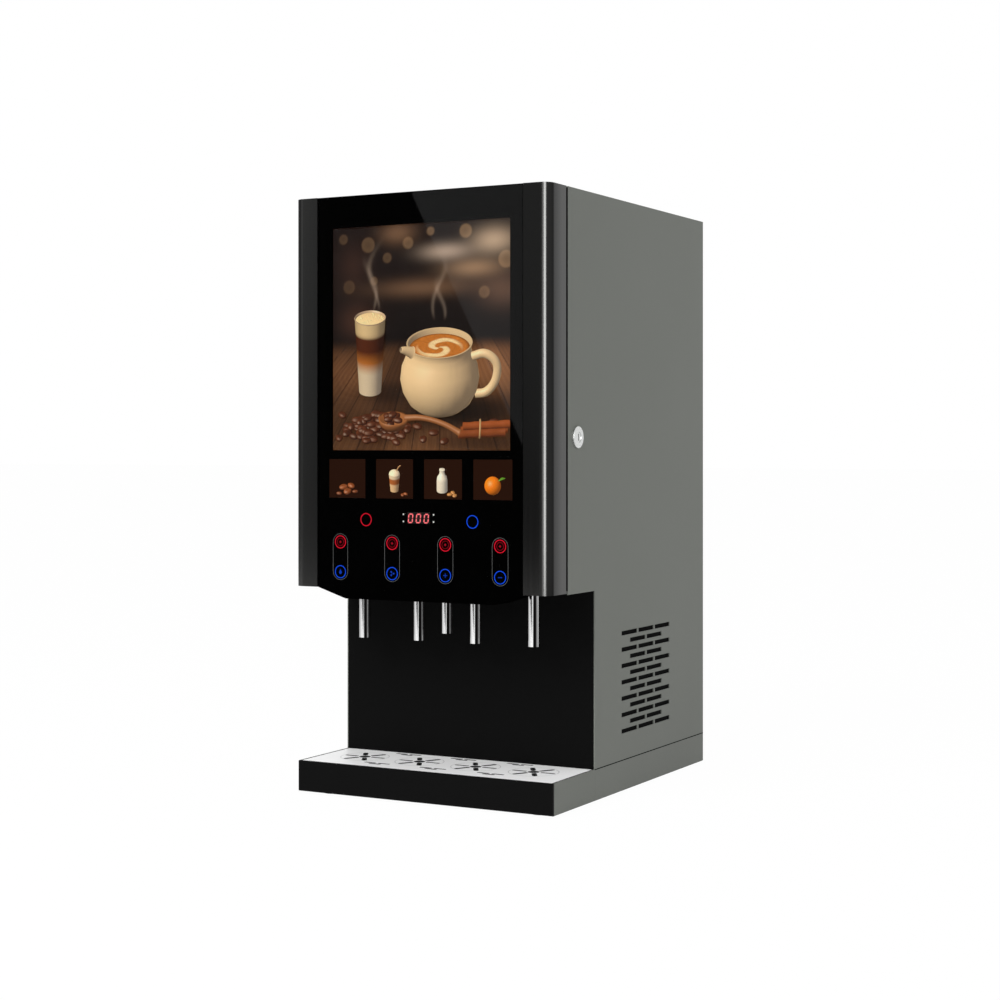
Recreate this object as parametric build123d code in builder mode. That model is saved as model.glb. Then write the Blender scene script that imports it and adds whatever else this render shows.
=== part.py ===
from build123d import *
import os

# Countertop hot and cold drinks dispenser, in millimetres.
# +X is the viewer's right, the door faces -Y, +Z is up.
# The origin is on the counter, under the middle of the cabinet and door.

# ---------- overall sizes ----------
cabinet_width = 338.0  # over the two side panels
cabinet_height = 700.0  # from the underside of the base to the roof
base_depth = 432.0  # from the tray front to the back edge
base_height = 36.0  # from the underside of the base to the cup grille
foot_height = 4.0  # rubber feet under the base
tray_depth = 106.5  # from the tray front to the splash panel
cup_bay_height = 206.0  # from the cup grille to the underside of the head
sheet = 1.2  # steel sheet of the casing
flange = 12.0  # folded edge of a casing sheet
running_gap = 0.05  # radial, between a shaft and its hole
slide_gap = 0.3  # between parts that slide or swing past each other
seat_gap = 0.1  # between fixed parts that plug into each other

# ---------- door sizes ----------
door_overhang = 9.0  # how far the door stands ahead of the tray
door_depth = 43.0
door_gap = 3.0  # seam between the door and the head
door_rise = 1.5  # how far the door's side strips end above the head's edge
door_corner_radius = 12.0
strip_width = 32.5  # black side profile of the door
profile_wall = 2.0
glass_thickness = 3.0
chin_drop = 12.5  # how far the glass chin reaches below the side strips
chin_run = 39.0  # sideways length of each sloping end of the chin
door_panel = 1.5  # walls of the inner door frame and the back cover

# ---------- windows of the door ----------
poster_side_margin = 18.0  # from the edge of the glass
poster_top_margin = 36.5
light_guide = 4.0  # thickness of the lit panels
tile_width = 49.5
tile_height = 45.0
tile_side_margin = 15.15  # from the edge of the glass
tile_gap = 10.5  # between the tiles and the poster
tile_rise = 117.5  # of the tiles above the chin's lower edge
tile_count = 4
display_width = 30.0
display_height = 13.0
display_rise = 89.0  # above the chin's lower edge
board_side_margin = 11.5  # from the edge of the glass
board_height = 92.0
board_rise = 16.0  # above the chin's lower edge
board_thickness = 1.6
board_post_length = 3.0
board_post_radius = 3.0
board_post_inset = 6.0

# ---------- door hinges ----------
hinge_count = 3
hinge_length = 60.0
hinge_inset = 48.25  # of the outer hinges from the door's ends
knuckle_radius = 2.5
hinge_pin_radius = 1.2
leaf_thickness = 1.2
leaf_width = 12.0
knuckle_share = 3  # knuckles along one hinge

# ---------- lock ----------
lock_setback = 60.5  # behind the tray front
lock_height = 422.8
lock_face_radius = 12.5
lock_face_thickness = 2.5
lock_barrel_radius = 9.0
lock_barrel_length = 20.0  # inwards from the outside of the side panel
lock_plug_radius = 6.0
lock_nut_width = 24.0
lock_nut_thickness = 4.0
cam_thickness = 2.0
cam_length = 22.0
cam_width = 10.0
key_slot_width = 1.6
key_slot_height = 8.0
key_slot_depth = 5.0
catch_width = 14.0  # up and down
catch_thickness = 2.0
catch_lip = 10.0
catch_foot = 18.0
catch_rise = 12.2  # lower edge of the catch above the lock's axis

# ---------- drink outlets ----------
outlet_count = 4
outlet_setback = 60.0  # behind the tray front
spout_radius = 6.8
spout_wall = 1.3
spout_drop = 62.5  # below the underside of the head
water_spout_drop = 52.5
water_spout_rise = 20.8  # above the head's floor
spout_overlap = 12.0  # how far the bowl's nozzle reaches into the spout
collar_radius = 11.0
collar_thickness = 2.0

# ---------- drip tray ----------
fascia_thickness = 1.8
fascia_depth = 3.0  # over its folded edges
tray_wall = 2.0
tray_floor_gap = 0.3
grille_thickness = 2.0
grille_hole_radius = 6.0
star_slots = 6
star_inner_radius = 9.5
star_outer_radius = 27.0
star_slot_width = 3.4
drain_slot_length = 15.0
drain_slot_width = 3.0
drain_slot_pitch = 19.0
drain_row_offset = 36.0  # of each row of short slots from the line of the outlets
drain_row_step = 2.6

# ---------- side vents ----------
vent_slot_length = 44.6
vent_slot_height = 5.2
vent_slot_pitch = 48.6
vent_row_pitch = 9.7
vent_long_rows = 7  # rows of three slots
vent_short_rows = 6  # rows of two slots between them
vent_setback = 251.2  # middle, behind the tray front
vent_middle_height = 132.3

# ---------- powder hoppers ----------
hopper_width = 72.0
hopper_gap = 4.0  # between neighbouring hoppers
hopper_height = 168.0  # over the shelf
hopper_wall = 2.0
hopper_corner = 3.0  # radius of the upright edges
hopper_front_setback = 33.0  # from the outlet line back to the hopper's front wall
hopper_length = 192.0
hopper_shoulder = 72.0  # height above the shelf where the sides start to taper
auger_rise = 20.5  # of the auger's axis above the shelf
auger_radius = 12.0
auger_shaft_radius = 4.0
auger_turns = 6
auger_blades_per_turn = 4
blade_thickness = 1.6
trough_gap = 1.5
nose_length = 26.0
chute_half = 8.0  # inside half width of the outlet chute
chute_wall = 1.4
elbow_flange_radius = 18.0
chute_drop = 34.0  # from the auger's axis down to the chute's mouth
mouth_length = 92.0  # refill mouth at the front of the hopper's top
runner_width = 3.0
coupling_radius = 8.0
coupling_length = 12.0
spindle_radius = 3.0
lid_thickness = 2.2
lid_lip = 5.0
lid_pin_radius = 2.0
lid_ear_width = 4.0
lid_axis_rise = 4.5

# ---------- mixing bowls and whippers ----------
bowl_shelf_gap = 21.0  # from the bowl's rim up to the hopper shelf
bowl_rim_radius = 32.0
bowl_neck_radius = 14.0
bowl_depth = 50.0
bowl_wall = 2.0
neck_rise = 1.0  # of the funnel's cone above the whipping chamber
neck_plug = 9.0  # how far the funnel's neck reaches down into the chamber's socket
chamber_radius = 20.0
chamber_length = 66.0
chamber_front_reach = 9.0  # ahead of the outlet line
bowl_setback = 23.5  # of the funnel's axis behind the outlet line
nozzle_length = 20.0
port_radius = 6.0
port_drop = 15.0  # of the water port below the bowl's rim
valve_nozzle_radius = 4.0
impeller_radius = 14.0
impeller_vanes = 6
impeller_length = 9.0
vane_thickness = 1.6
whipper_shaft_radius = 3.0
whipper_motor_radius = 18.0
whipper_motor_length = 44.0
bearing_depth = 9.0

# ---------- inner sheets ----------
module_plate_setback = 151.5  # behind the tray front
shelf_height = 431.5  # top face of the hopper shelf
shelf_sheet = 1.5
shelf_front_gap = 4.0  # shelf edge behind the hopper's front wall
motor_plate_height = 62.0
back_recess = 14.0  # of the back panel inside the casing

# ---------- machinery ----------
gear_motor_width = 46.0
gear_motor_height = 52.0
gear_motor_length = 24.0
motor_can_radius = 14.0
motor_can_length = 34.0
boiler_radius = 52.0
boiler_headroom = 22.8  # under the hopper shelf
tank_width = 108.0
tank_depth = 100.0
tank_headroom = 32.8  # under the hopper shelf
tank_offset = 84.0  # of the boiler and the tank from the middle
tank_setback = 286.5  # of their middle behind the tray front
compressor_radius = 52.0
compressor_height = 128.0
compressor_offset = 84.0
compressor_setback = 230.0
condenser_width = 62.0
condenser_length = 140.0
condenser_height = 132.0
condenser_offset = 118.0
fin_count = 14
fin_thickness = 1.2
fan_width = 92.0
fan_depth = 25.0
fan_offset = 62.0
fan_height = 104.0
fan_hub_radius = 15.0
fan_blade_radius = 41.0
fan_blades = 7
valve_width = 24.0
valve_height = 28.0
valve_depth = 30.0
inlet_radius = 10.4
inlet_nut_radius = 13.5
inlet_nut_thickness = 3.0
inlet_length = 9.0  # of the hose tail behind its nut
inlet_neck_radius = 10.0
inlet_offset = 62.0
inlet_height = 196.0
power_offset = -112.0
power_height = 92.0
power_plate_width = 50.0
power_plate_height = 74.0
power_plate_thickness = 2.5
power_rim = 5.0  # of the plate around its cutout in the back panel
power_body_depth = 24.0
socket_width = 24.0
socket_height = 17.0
socket_depth = 18.0
rocker_width = 18.0
rocker_height = 26.0
rocker_throw = 20.0  # degrees
hose_radius = 4.5
hose_rise = 24.0  # of the water hose above its spout
hose_bend = 14.0

# ---------- places worked out from the sizes ----------
half_width = cabinet_width / 2
inner_half = half_width - sheet
front_y = -(base_depth + door_overhang) / 2
tray_front_y = front_y + door_overhang
rear_y = tray_front_y + base_depth
splash_y = tray_front_y + tray_depth
outlet_y = tray_front_y + outlet_setback
base_z = foot_height
base_top_z = base_z + base_height
top_z = base_z + cabinet_height
roof_z = top_z - sheet
head_z = base_top_z + cup_bay_height
floor_z = head_z + sheet
door_back_y = front_y + door_depth
head_front_y = door_back_y + door_gap
door_bottom_z = head_z + door_rise
glass_half = half_width - strip_width
chin_half_width = glass_half - chin_run
chin_z = door_bottom_z - chin_drop
glass_back_y = front_y + glass_thickness
back_y = rear_y - back_recess
back_inner_y = back_y - sheet
module_y = tray_front_y + module_plate_setback
module_back_y = module_y + sheet
outlet_pitch = hopper_width + hopper_gap
outlet_xs = [outlet_pitch * (i - (outlet_count - 1) / 2) for i in range(outlet_count)]

os.makedirs("parts", exist_ok=True)


def rect(x_low, x_high, y_low, y_high, mode=Mode.ADD):
    """A rectangle between two corners of the sketch in hand."""
    with Locations(((x_low + x_high) / 2, (y_low + y_high) / 2)):
        Rectangle(x_high - x_low, y_high - y_low, mode=mode)


def across(y):
    """Plane that faces the front, at depth y: sketch in X and Z."""
    return Plane.XZ.offset(-y)


def along(x):
    """Plane that faces right, at x: sketch in Y and Z."""
    return Plane.YZ.offset(x)


def export_group(label, *pieces):
    """Write several separate pieces as the solids of one file."""
    group = Compound([solid for piece in pieces for solid in piece.part.solids()])
    group.label = label
    export_step(group, f"parts/{label}.step")


# ====================================================================
# Base, feet and drip tray
# ====================================================================
pan_front_y = tray_front_y + fascia_depth
divider_y = splash_y + sheet
rear_pan_y = divider_y + sheet + seat_gap

with BuildPart() as base_pan:
    # cradle of the drip tray: a floor and two sides
    with BuildSketch(Plane.XY.offset(base_z)):
        rect(-half_width, half_width, pan_front_y, divider_y + sheet)
    extrude(amount=base_height)
    with BuildSketch(Plane.XY.offset(base_z + sheet)):
        rect(-inner_half, inner_half, pan_front_y, divider_y + sheet)
    extrude(amount=base_height, mode=Mode.SUBTRACT)
    # upright divider behind the tray
    with BuildSketch(Plane.XY.offset(base_z + sheet + seat_gap)):
        rect(-inner_half + seat_gap, inner_half - seat_gap, divider_y, divider_y + sheet)
    extrude(amount=base_height - sheet - seat_gap)
    # machine pan behind it, under a folded rim
    with BuildSketch(Plane.XY.offset(base_z)):
        rect(-half_width, half_width, rear_pan_y, rear_y)
    extrude(amount=base_height)
    with BuildSketch(Plane.XY.offset(base_z + sheet)):
        rect(-inner_half, inner_half, rear_pan_y + sheet, rear_y - sheet)
    extrude(amount=base_height - 2 * sheet, mode=Mode.SUBTRACT)
    with BuildSketch(Plane.XY.offset(base_top_z - sheet)):
        rect(-inner_half + flange, inner_half - flange, rear_pan_y + sheet + flange, rear_y - flange)
    extrude(amount=sheet, mode=Mode.SUBTRACT)
base_pan.part.label = "base_pan"
export_step(base_pan.part, "parts/base_pan.step")

foot_radius = 13.0
foot_inset = 30.0
with BuildPart() as rubber_feet:
    with BuildSketch(Plane.XY):
        with GridLocations(cabinet_width - 2 * foot_inset, base_depth - 2 * foot_inset, 2, 2):
            with Locations((0, (tray_front_y + rear_y) / 2)):
                Circle(foot_radius)
    extrude(amount=foot_height)
    chamfer(rubber_feet.edges().group_by(Axis.Z)[0], length=1.0)
rubber_feet.part.label = "rubber_feet"
export_step(rubber_feet.part, "parts/rubber_feet.step")

tray_bottom_z = base_z + sheet + tray_floor_gap
tray_top_z = base_top_z - grille_thickness
tray_half = inner_half - slide_gap
tray_back_y = splash_y - slide_gap
tub_front_y = tray_front_y + fascia_thickness + seat_gap

with BuildPart() as drip_tray:
    with BuildSketch(Plane.XY.offset(tray_bottom_z)):
        rect(-tray_half, tray_half, tub_front_y, tray_back_y)
    extrude(amount=tray_top_z - tray_bottom_z)
    fillet(drip_tray.edges().filter_by(Axis.Z).group_by(Axis.Y)[-1], radius=1.5 * tray_wall)
    with BuildSketch(Plane.XY.offset(tray_bottom_z + tray_wall)):
        rect(-tray_half + tray_wall, tray_half - tray_wall, tub_front_y + tray_wall, tray_back_y - tray_wall)
    extrude(amount=tray_top_z, mode=Mode.SUBTRACT)
    # fascia across the full width of the base, clipped to the tub
    with BuildSketch(across(tray_front_y)):
        rect(-half_width, half_width, base_z, base_top_z)
    extrude(amount=-fascia_thickness)
    with BuildSketch(across(tray_front_y + fascia_thickness)):
        rect(-half_width, half_width, base_z, base_top_z)
        rect(-inner_half, inner_half, base_z + sheet, base_top_z - sheet, mode=Mode.SUBTRACT)
    extrude(amount=-(fascia_depth - fascia_thickness))
    chamfer(drip_tray.edges().filter_by(Axis.X).group_by(Axis.Y)[0], length=0.8)
drip_tray.part.label = "drip_tray"
export_step(drip_tray.part, "parts/drip_tray.step")

grille_half = tray_half - slide_gap
grille_front_y = pan_front_y + slide_gap
grille_back_y = tray_back_y - slide_gap
star_length = star_outer_radius - star_inner_radius

with BuildPart() as drip_grille:
    with BuildSketch(Plane.XY.offset(tray_top_z)):
        rect(-grille_half, grille_half, grille_front_y, grille_back_y)
        with Locations(*[(x, outlet_y) for x in outlet_xs]):
            Circle(grille_hole_radius, mode=Mode.SUBTRACT)
            with PolarLocations((star_inner_radius + star_outer_radius) / 2, star_slots):
                SlotOverall(star_length, star_slot_width, mode=Mode.SUBTRACT)
        # three short slots, front and rear, between neighbouring stars
        for x in [(a + b) / 2 for a, b in zip(outlet_xs, outlet_xs[1:])]:
            for side in (-1, 1):
                row_y = outlet_y + side * drain_row_offset
                with Locations(
                    (x - drain_slot_pitch / 2, row_y + drain_row_step),
                    (x + drain_slot_pitch / 2, row_y + drain_row_step),
                    (x, row_y - drain_row_step),
                ):
                    SlotOverall(drain_slot_length, drain_slot_width, mode=Mode.SUBTRACT)
    extrude(amount=grille_thickness)
drip_grille.part.label = "drip_grille"
export_step(drip_grille.part, "parts/drip_grille.step")

# ====================================================================
# Casing
# ====================================================================
hinge_x = -half_width
hinge_y = head_front_y - door_gap / 2
hinge_low_z = door_bottom_z + hinge_inset
hinge_pitch = (top_z - hinge_inset - hinge_low_z) / (hinge_count - 1)
hinge_zs = [hinge_low_z + hinge_pitch * i for i in range(hinge_count)]
hinge_relief = knuckle_radius + 2 * slide_gap


def cut_hinge_reliefs():
    """Round notches that leave room for the hinge knuckles."""
    for z in hinge_zs:
        with BuildSketch(Plane.XY.offset(z - hinge_length / 2 - slide_gap)) as relief:
            with Locations((hinge_x, hinge_y)):
                Circle(hinge_relief)
        extrude(relief.sketch, amount=hinge_length + 2 * slide_gap, mode=Mode.SUBTRACT)


def side_panel_outline():
    """Upside-down L of a side panel, in Y and Z."""
    with BuildLine() as outline:
        Polyline(
            (splash_y, base_top_z),
            (rear_y, base_top_z),
            (rear_y, top_z),
            (head_front_y, top_z),
            (head_front_y, head_z),
            (splash_y, head_z),
            close=True,
        )
    make_face(outline.edges())


def cut_vents():
    """Staggered air slots of a side panel, in the sketch in hand."""
    with Locations((tray_front_y + vent_setback, vent_middle_height)):
        with GridLocations(vent_slot_pitch, 2 * vent_row_pitch, 3, vent_long_rows):
            Rectangle(vent_slot_length, vent_slot_height, mode=Mode.SUBTRACT)
        with GridLocations(vent_slot_pitch, 2 * vent_row_pitch, 2, vent_short_rows):
            Rectangle(vent_slot_length, vent_slot_height, mode=Mode.SUBTRACT)


def side_flanges(x_low, x_high):
    """Folded edges of a side panel: behind the door, and in front of the back panel."""
    with BuildSketch(Plane.XY.offset(floor_z)) as front_edge:
        rect(x_low, x_high, head_front_y, head_front_y + sheet)
    extrude(front_edge.sketch, amount=roof_z - floor_z)
    with BuildSketch(Plane.XY.offset(base_top_z)) as rear_edge:
        rect(x_low, x_high, back_inner_y - sheet, back_inner_y)
    extrude(rear_edge.sketch, amount=roof_z - base_top_z)


lock_y = tray_front_y + lock_setback

with BuildPart() as right_side_panel:
    with BuildSketch(along(inner_half)):
        side_panel_outline()
        cut_vents()
        with Locations((lock_y, lock_height)):
            Circle(lock_barrel_radius + seat_gap, mode=Mode.SUBTRACT)
    extrude(amount=sheet)
    side_flanges(inner_half - flange, inner_half)
right_side_panel.part.label = "right_side_panel"
export_step(right_side_panel.part, "parts/right_side_panel.step")

with BuildPart() as left_side_panel:
    with BuildSketch(along(-half_width)):
        side_panel_outline()
        cut_vents()
    extrude(amount=sheet)
    side_flanges(-inner_half, -inner_half + flange)
    cut_hinge_reliefs()
left_side_panel.part.label = "left_side_panel"
export_step(left_side_panel.part, "parts/left_side_panel.step")

with BuildPart() as roof_panel:
    with BuildSketch(Plane.XY.offset(roof_z)):
        rect(-inner_half, inner_half, head_front_y, rear_y)
    extrude(amount=sheet)
    with BuildSketch(Plane.XY.offset(roof_z - flange)):
        rect(-inner_half + flange, inner_half - flange, head_front_y, head_front_y + sheet)
        rect(-inner_half, -inner_half + sheet, head_front_y + sheet, back_inner_y - sheet)
        rect(inner_half - sheet, inner_half, head_front_y + sheet, back_inner_y - sheet)
    extrude(amount=flange)
roof_panel.part.label = "roof_panel"
export_step(roof_panel.part, "parts/roof_panel.step")

exhaust_slots = 9
exhaust_pitch = 9.0
exhaust_slot_height = 4.4

with BuildPart() as back_panel:
    with BuildSketch(across(back_y)):
        rect(-inner_half, inner_half, base_top_z, roof_z)
    extrude(amount=sheet)
    with BuildSketch(across(back_y)):
        # exhaust slots, kept inside the fan's circle
        with Locations((fan_offset, fan_height)):
            with GridLocations(fan_width, exhaust_pitch, 1, exhaust_slots):
                Rectangle(fan_width, exhaust_slot_height)
            Circle(fan_blade_radius, mode=Mode.INTERSECT)
        with Locations((power_offset, power_height)):
            Rectangle(power_plate_width - 2 * power_rim, power_plate_height - 2 * power_rim)
        with Locations((inlet_offset, inlet_height)):
            Circle(inlet_neck_radius + slide_gap)
    extrude(amount=sheet, mode=Mode.SUBTRACT)
back_panel.part.label = "back_panel"
export_step(back_panel.part, "parts/back_panel.step")

with BuildPart() as splash_panel:
    with BuildSketch(across(splash_y)):
        rect(-inner_half, inner_half, base_top_z, head_z)
    extrude(amount=-sheet)
    with BuildSketch(Plane.XY.offset(base_top_z)):
        rect(-inner_half, -inner_half + sheet, splash_y, splash_y + flange)
        rect(inner_half - sheet, inner_half, splash_y, splash_y + flange)
    extrude(amount=cup_bay_height)
splash_panel.part.label = "splash_panel"
export_step(splash_panel.part, "parts/splash_panel.step")

inlet_hose_y = back_inner_y - valve_depth / 2

# Floor of the head: ceiling of the cup bay in front, machine deck behind
spout_xs = outlet_xs + [0.0]
with BuildPart() as head_floor:
    with BuildSketch(Plane.XY.offset(head_z)):
        rect(-inner_half, inner_half, head_front_y, back_inner_y - sheet)
        with Locations(*[(x, outlet_y) for x in spout_xs]):
            Circle(spout_radius + seat_gap, mode=Mode.SUBTRACT)
        with Locations((inlet_offset, inlet_hose_y)):
            Circle(hose_radius + seat_gap, mode=Mode.SUBTRACT)
    extrude(amount=sheet)
head_floor.part.label = "head_floor"
export_step(head_floor.part, "parts/head_floor.step")

shelf_back_y = outlet_y + hopper_front_setback + hopper_length + coupling_length + 2 * slide_gap
shelf_under_z = shelf_height - shelf_sheet
spout_bottom = head_z - spout_drop
water_spout_bottom = head_z - water_spout_drop
water_spout_top = floor_z + water_spout_rise
hose_run_z = water_spout_top + hose_rise
bowl_top_z = shelf_under_z - bowl_shelf_gap
bowl_neck_z = bowl_top_z - bowl_depth
chamber_top_z = bowl_neck_z - neck_rise
chamber_axis_z = chamber_top_z - chamber_radius
port_z = bowl_top_z - port_drop

# Upright sheet behind the bowls, with bent feet
with BuildPart() as module_plate:
    with BuildSketch(across(module_y)):
        rect(-inner_half, inner_half, floor_z, shelf_under_z)
        with Locations(*[(x, chamber_axis_z) for x in outlet_xs]):
            Circle(whipper_shaft_radius + 3.0, mode=Mode.SUBTRACT)
        with Locations(*[(x, port_z) for x in outlet_xs]):
            Circle(valve_nozzle_radius + seat_gap, mode=Mode.SUBTRACT)
        with Locations((0, hose_run_z)):
            Circle(hose_radius + seat_gap, mode=Mode.SUBTRACT)
    extrude(amount=-sheet)
    with BuildSketch(Plane.XY.offset(floor_z)):
        rect(-inner_half, inner_half, module_back_y, module_back_y + flange)
    extrude(amount=sheet)
    with BuildSketch(Plane.XY.offset(shelf_under_z - sheet)):
        rect(-inner_half, inner_half, module_back_y, module_back_y + flange)
    extrude(amount=sheet)
module_plate.part.label = "module_plate"
export_step(module_plate.part, "parts/module_plate.step")

# Shelf under the hoppers, bent up behind them to carry the auger motors
auger_z = shelf_height + auger_rise
hopper_front_y = outlet_y + hopper_front_setback
hopper_back_y = hopper_front_y + hopper_length
shelf_front_y = hopper_front_y + shelf_front_gap

with BuildPart() as hopper_carrier:
    with BuildSketch(along(-inner_half)):
        with BuildLine():
            Polyline(
                (shelf_front_y, shelf_under_z),
                (shelf_back_y + shelf_sheet, shelf_under_z),
                (shelf_back_y + shelf_sheet, shelf_height + motor_plate_height),
                (shelf_back_y, shelf_height + motor_plate_height),
                (shelf_back_y, shelf_height),
                (shelf_front_y, shelf_height),
                close=True,
            )
        make_face()
    extrude(amount=2 * inner_half)
    with BuildSketch(across(shelf_back_y + shelf_sheet)):
        with Locations(*[(x, auger_z) for x in outlet_xs]):
            Circle(spindle_radius + 3.0)
    extrude(amount=shelf_sheet, mode=Mode.SUBTRACT)
    # folded sides, screwed to the casing
    with BuildSketch(Plane.XY.offset(shelf_under_z - flange)):
        for side in (-1, 1):
            x = side * (inner_half - sheet / 2)
            with Locations((x, (module_back_y + flange + shelf_back_y) / 2)):
                Rectangle(sheet, shelf_back_y - module_back_y - flange)
    extrude(amount=flange)
hopper_carrier.part.label = "hopper_carrier"
export_step(hopper_carrier.part, "parts/hopper_carrier.step")

# ====================================================================
# Door
# ====================================================================
frame_back_y = door_back_y - door_panel
window_gap = 0.2
tile_pitch = (2 * (glass_half - tile_side_margin) - tile_width) / (tile_count - 1)
tile_xs = [tile_pitch * (i - (tile_count - 1) / 2) for i in range(tile_count)]
tile_mid_z = chin_z + tile_rise + tile_height / 2
poster_width = 2 * (glass_half - poster_side_margin)
poster_low_z = chin_z + tile_rise + tile_height + tile_gap
poster_height = top_z - poster_top_margin - poster_low_z
poster_mid_z = poster_low_z + poster_height / 2
display_mid_z = chin_z + display_rise + display_height / 2
board_width = 2 * (glass_half - board_side_margin)
board_mid_z = chin_z + board_rise + board_height / 2


def door_outline(inset=0.0):
    """Middle of the door with its sloping chin, in X and Z."""
    with BuildLine() as outline:
        Polyline(
            (-glass_half + inset, top_z - inset),
            (glass_half - inset, top_z - inset),
            (glass_half - inset, door_bottom_z + inset),
            (chin_half_width - inset / 2, chin_z + inset),
            (-chin_half_width + inset / 2, chin_z + inset),
            (-glass_half + inset, door_bottom_z + inset),
            close=True,
        )
    make_face(outline.edges())


def windows(gap=0.0, mode=Mode.ADD):
    """Poster, drink tiles and display, in the sketch in hand."""
    with Locations((0, poster_mid_z)):
        Rectangle(poster_width + 2 * gap, poster_height + 2 * gap, mode=mode)
    with Locations(*[(x, tile_mid_z) for x in tile_xs]):
        Rectangle(tile_width + 2 * gap, tile_height + 2 * gap, mode=mode)
    with Locations((0, display_mid_z)):
        Rectangle(display_width + 2 * gap, display_height + 2 * gap, mode=mode)


with BuildPart() as door_glass:
    with BuildSketch(across(front_y)):
        door_outline()
    extrude(amount=-glass_thickness)
    chamfer(door_glass.faces().sort_by(Axis.Y)[0].edges(), length=0.5)
door_glass.part.label = "door_glass"
export_step(door_glass.part, "parts/door_glass.step")

board_front_y = glass_back_y + door_panel + board_post_length
with BuildPart() as door_frame:
    with BuildSketch(across(glass_back_y)):
        door_outline()
    extrude(amount=-(frame_back_y - glass_back_y))
    with BuildSketch(across(glass_back_y + door_panel)):
        door_outline(inset=door_panel)
    extrude(amount=-frame_back_y + glass_back_y, mode=Mode.SUBTRACT)
    with BuildSketch(across(glass_back_y)):
        windows(gap=window_gap)
    extrude(amount=-door_panel, mode=Mode.SUBTRACT)
    # posts for the display board
    with BuildSketch(across(glass_back_y + door_panel)):
        with Locations((0, board_mid_z)):
            with GridLocations(
                board_width - 2 * board_post_inset, board_height - 2 * board_post_inset, 2, 2
            ):
                Circle(board_post_radius)
    extrude(amount=-board_post_length)
door_frame.part.label = "door_frame"
export_step(door_frame.part, "parts/door_frame.step")

with BuildPart() as poster_panel:
    with BuildSketch(across(glass_back_y)):
        with Locations((0, poster_mid_z)):
            Rectangle(poster_width, poster_height)
    extrude(amount=-light_guide)
poster_panel.part.label = "poster_panel"
export_step(poster_panel.part, "parts/poster_panel.step")

with BuildPart() as flavour_tiles:
    with BuildSketch(across(glass_back_y)):
        with Locations(*[(x, tile_mid_z) for x in tile_xs]):
            Rectangle(tile_width, tile_height)
    extrude(amount=-light_guide)
flavour_tiles.part.label = "flavour_tiles"
export_step(flavour_tiles.part, "parts/flavour_tiles.step")

with BuildPart() as display_board:
    with BuildSketch(across(board_front_y)):
        with Locations((0, board_mid_z)):
            RectangleRounded(board_width, board_height, 3.0)
    extrude(amount=-board_thickness)
    with BuildSketch(across(glass_back_y)):
        with Locations((0, display_mid_z)):
            Rectangle(display_width, display_height)
    extrude(amount=-(board_front_y - glass_back_y))
display_board.part.label = "display_board"
export_step(display_board.part, "parts/display_board.step")

# Extruded side profiles, with the rounded outer corner and a rear return
profile_return = 12.0


def side_profile(side):
    """Section of a door profile in X and Y, for side -1 or 1."""
    outer = side * half_width
    inner = side * glass_half
    wall = side * profile_wall
    turn = side * door_corner_radius
    with BuildLine() as outline:
        Line((inner, front_y), (outer - turn, front_y))
        RadiusArc(
            (outer - turn, front_y),
            (outer, front_y + door_corner_radius),
            -side * door_corner_radius,
        )
        Polyline(
            (outer, front_y + door_corner_radius),
            (outer, door_back_y),
            (outer - side * profile_return, door_back_y),
            (outer - side * profile_return, door_back_y - profile_wall),
            (outer - wall, door_back_y - profile_wall),
            (outer - wall, front_y + door_corner_radius),
        )
        RadiusArc(
            (outer - wall, front_y + door_corner_radius),
            (outer - turn, front_y + profile_wall),
            side * (door_corner_radius - profile_wall),
        )
        Polyline(
            (outer - turn, front_y + profile_wall),
            (inner, front_y + profile_wall),
            (inner, front_y),
        )
    make_face(outline.edges())


def close_ends(side):
    """Caps in the two ends of a side profile, up to the back cover."""
    inner = side * glass_half
    wall_x = side * (half_width - profile_wall)
    corner = profile_wall + door_corner_radius / 3
    for z in (door_bottom_z, top_z - profile_wall):
        with BuildSketch(Plane.XY.offset(z)) as cap:
            with BuildLine() as outline:
                Polyline(
                    (inner, front_y + profile_wall / 2),
                    (side * (half_width - door_corner_radius), front_y + profile_wall / 2),
                    (side * (half_width - corner), front_y + corner),
                    (wall_x + side * profile_wall / 2, front_y + door_corner_radius),
                    (wall_x + side * profile_wall / 2, frame_back_y),
                    (inner, frame_back_y),
                    close=True,
                )
            make_face(outline.edges())
        extrude(cap.sketch, amount=profile_wall)


with BuildPart() as door_left_profile:
    with BuildSketch(Plane.XY.offset(door_bottom_z)):
        side_profile(-1)
    extrude(amount=top_z - door_bottom_z)
    close_ends(-1)
    cut_hinge_reliefs()
door_left_profile.part.label = "door_left_profile"
export_step(door_left_profile.part, "parts/door_left_profile.step")

with BuildPart() as door_right_profile:
    with BuildSketch(Plane.XY.offset(door_bottom_z)):
        side_profile(1)
    extrude(amount=top_z - door_bottom_z)
    close_ends(1)
door_right_profile.part.label = "door_right_profile"
export_step(door_right_profile.part, "parts/door_right_profile.step")

cover_half = half_width - profile_return - window_gap
with BuildPart() as door_back_cover:
    with BuildSketch(across(frame_back_y)):
        rect(-cover_half, cover_half, door_bottom_z, top_z)
    extrude(amount=-door_panel)
    # stiffening channel, pressed towards the inside of the door
    with BuildSketch(across(door_back_y)):
        with Locations((0, (door_bottom_z + top_z) / 2)):
            RectangleRounded(cover_half, cover_half * 2, 10.0)
    extrude(amount=door_panel / 2, mode=Mode.SUBTRACT)
door_back_cover.part.label = "door_back_cover"
export_step(door_back_cover.part, "parts/door_back_cover.step")

catch_back_y = lock_y + cam_width / 2 + 3.0
cam_x = half_width - lock_barrel_length - cam_thickness
catch_x = cam_x - catch_thickness - 4.0
catch_low_z = lock_height + catch_rise

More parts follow.
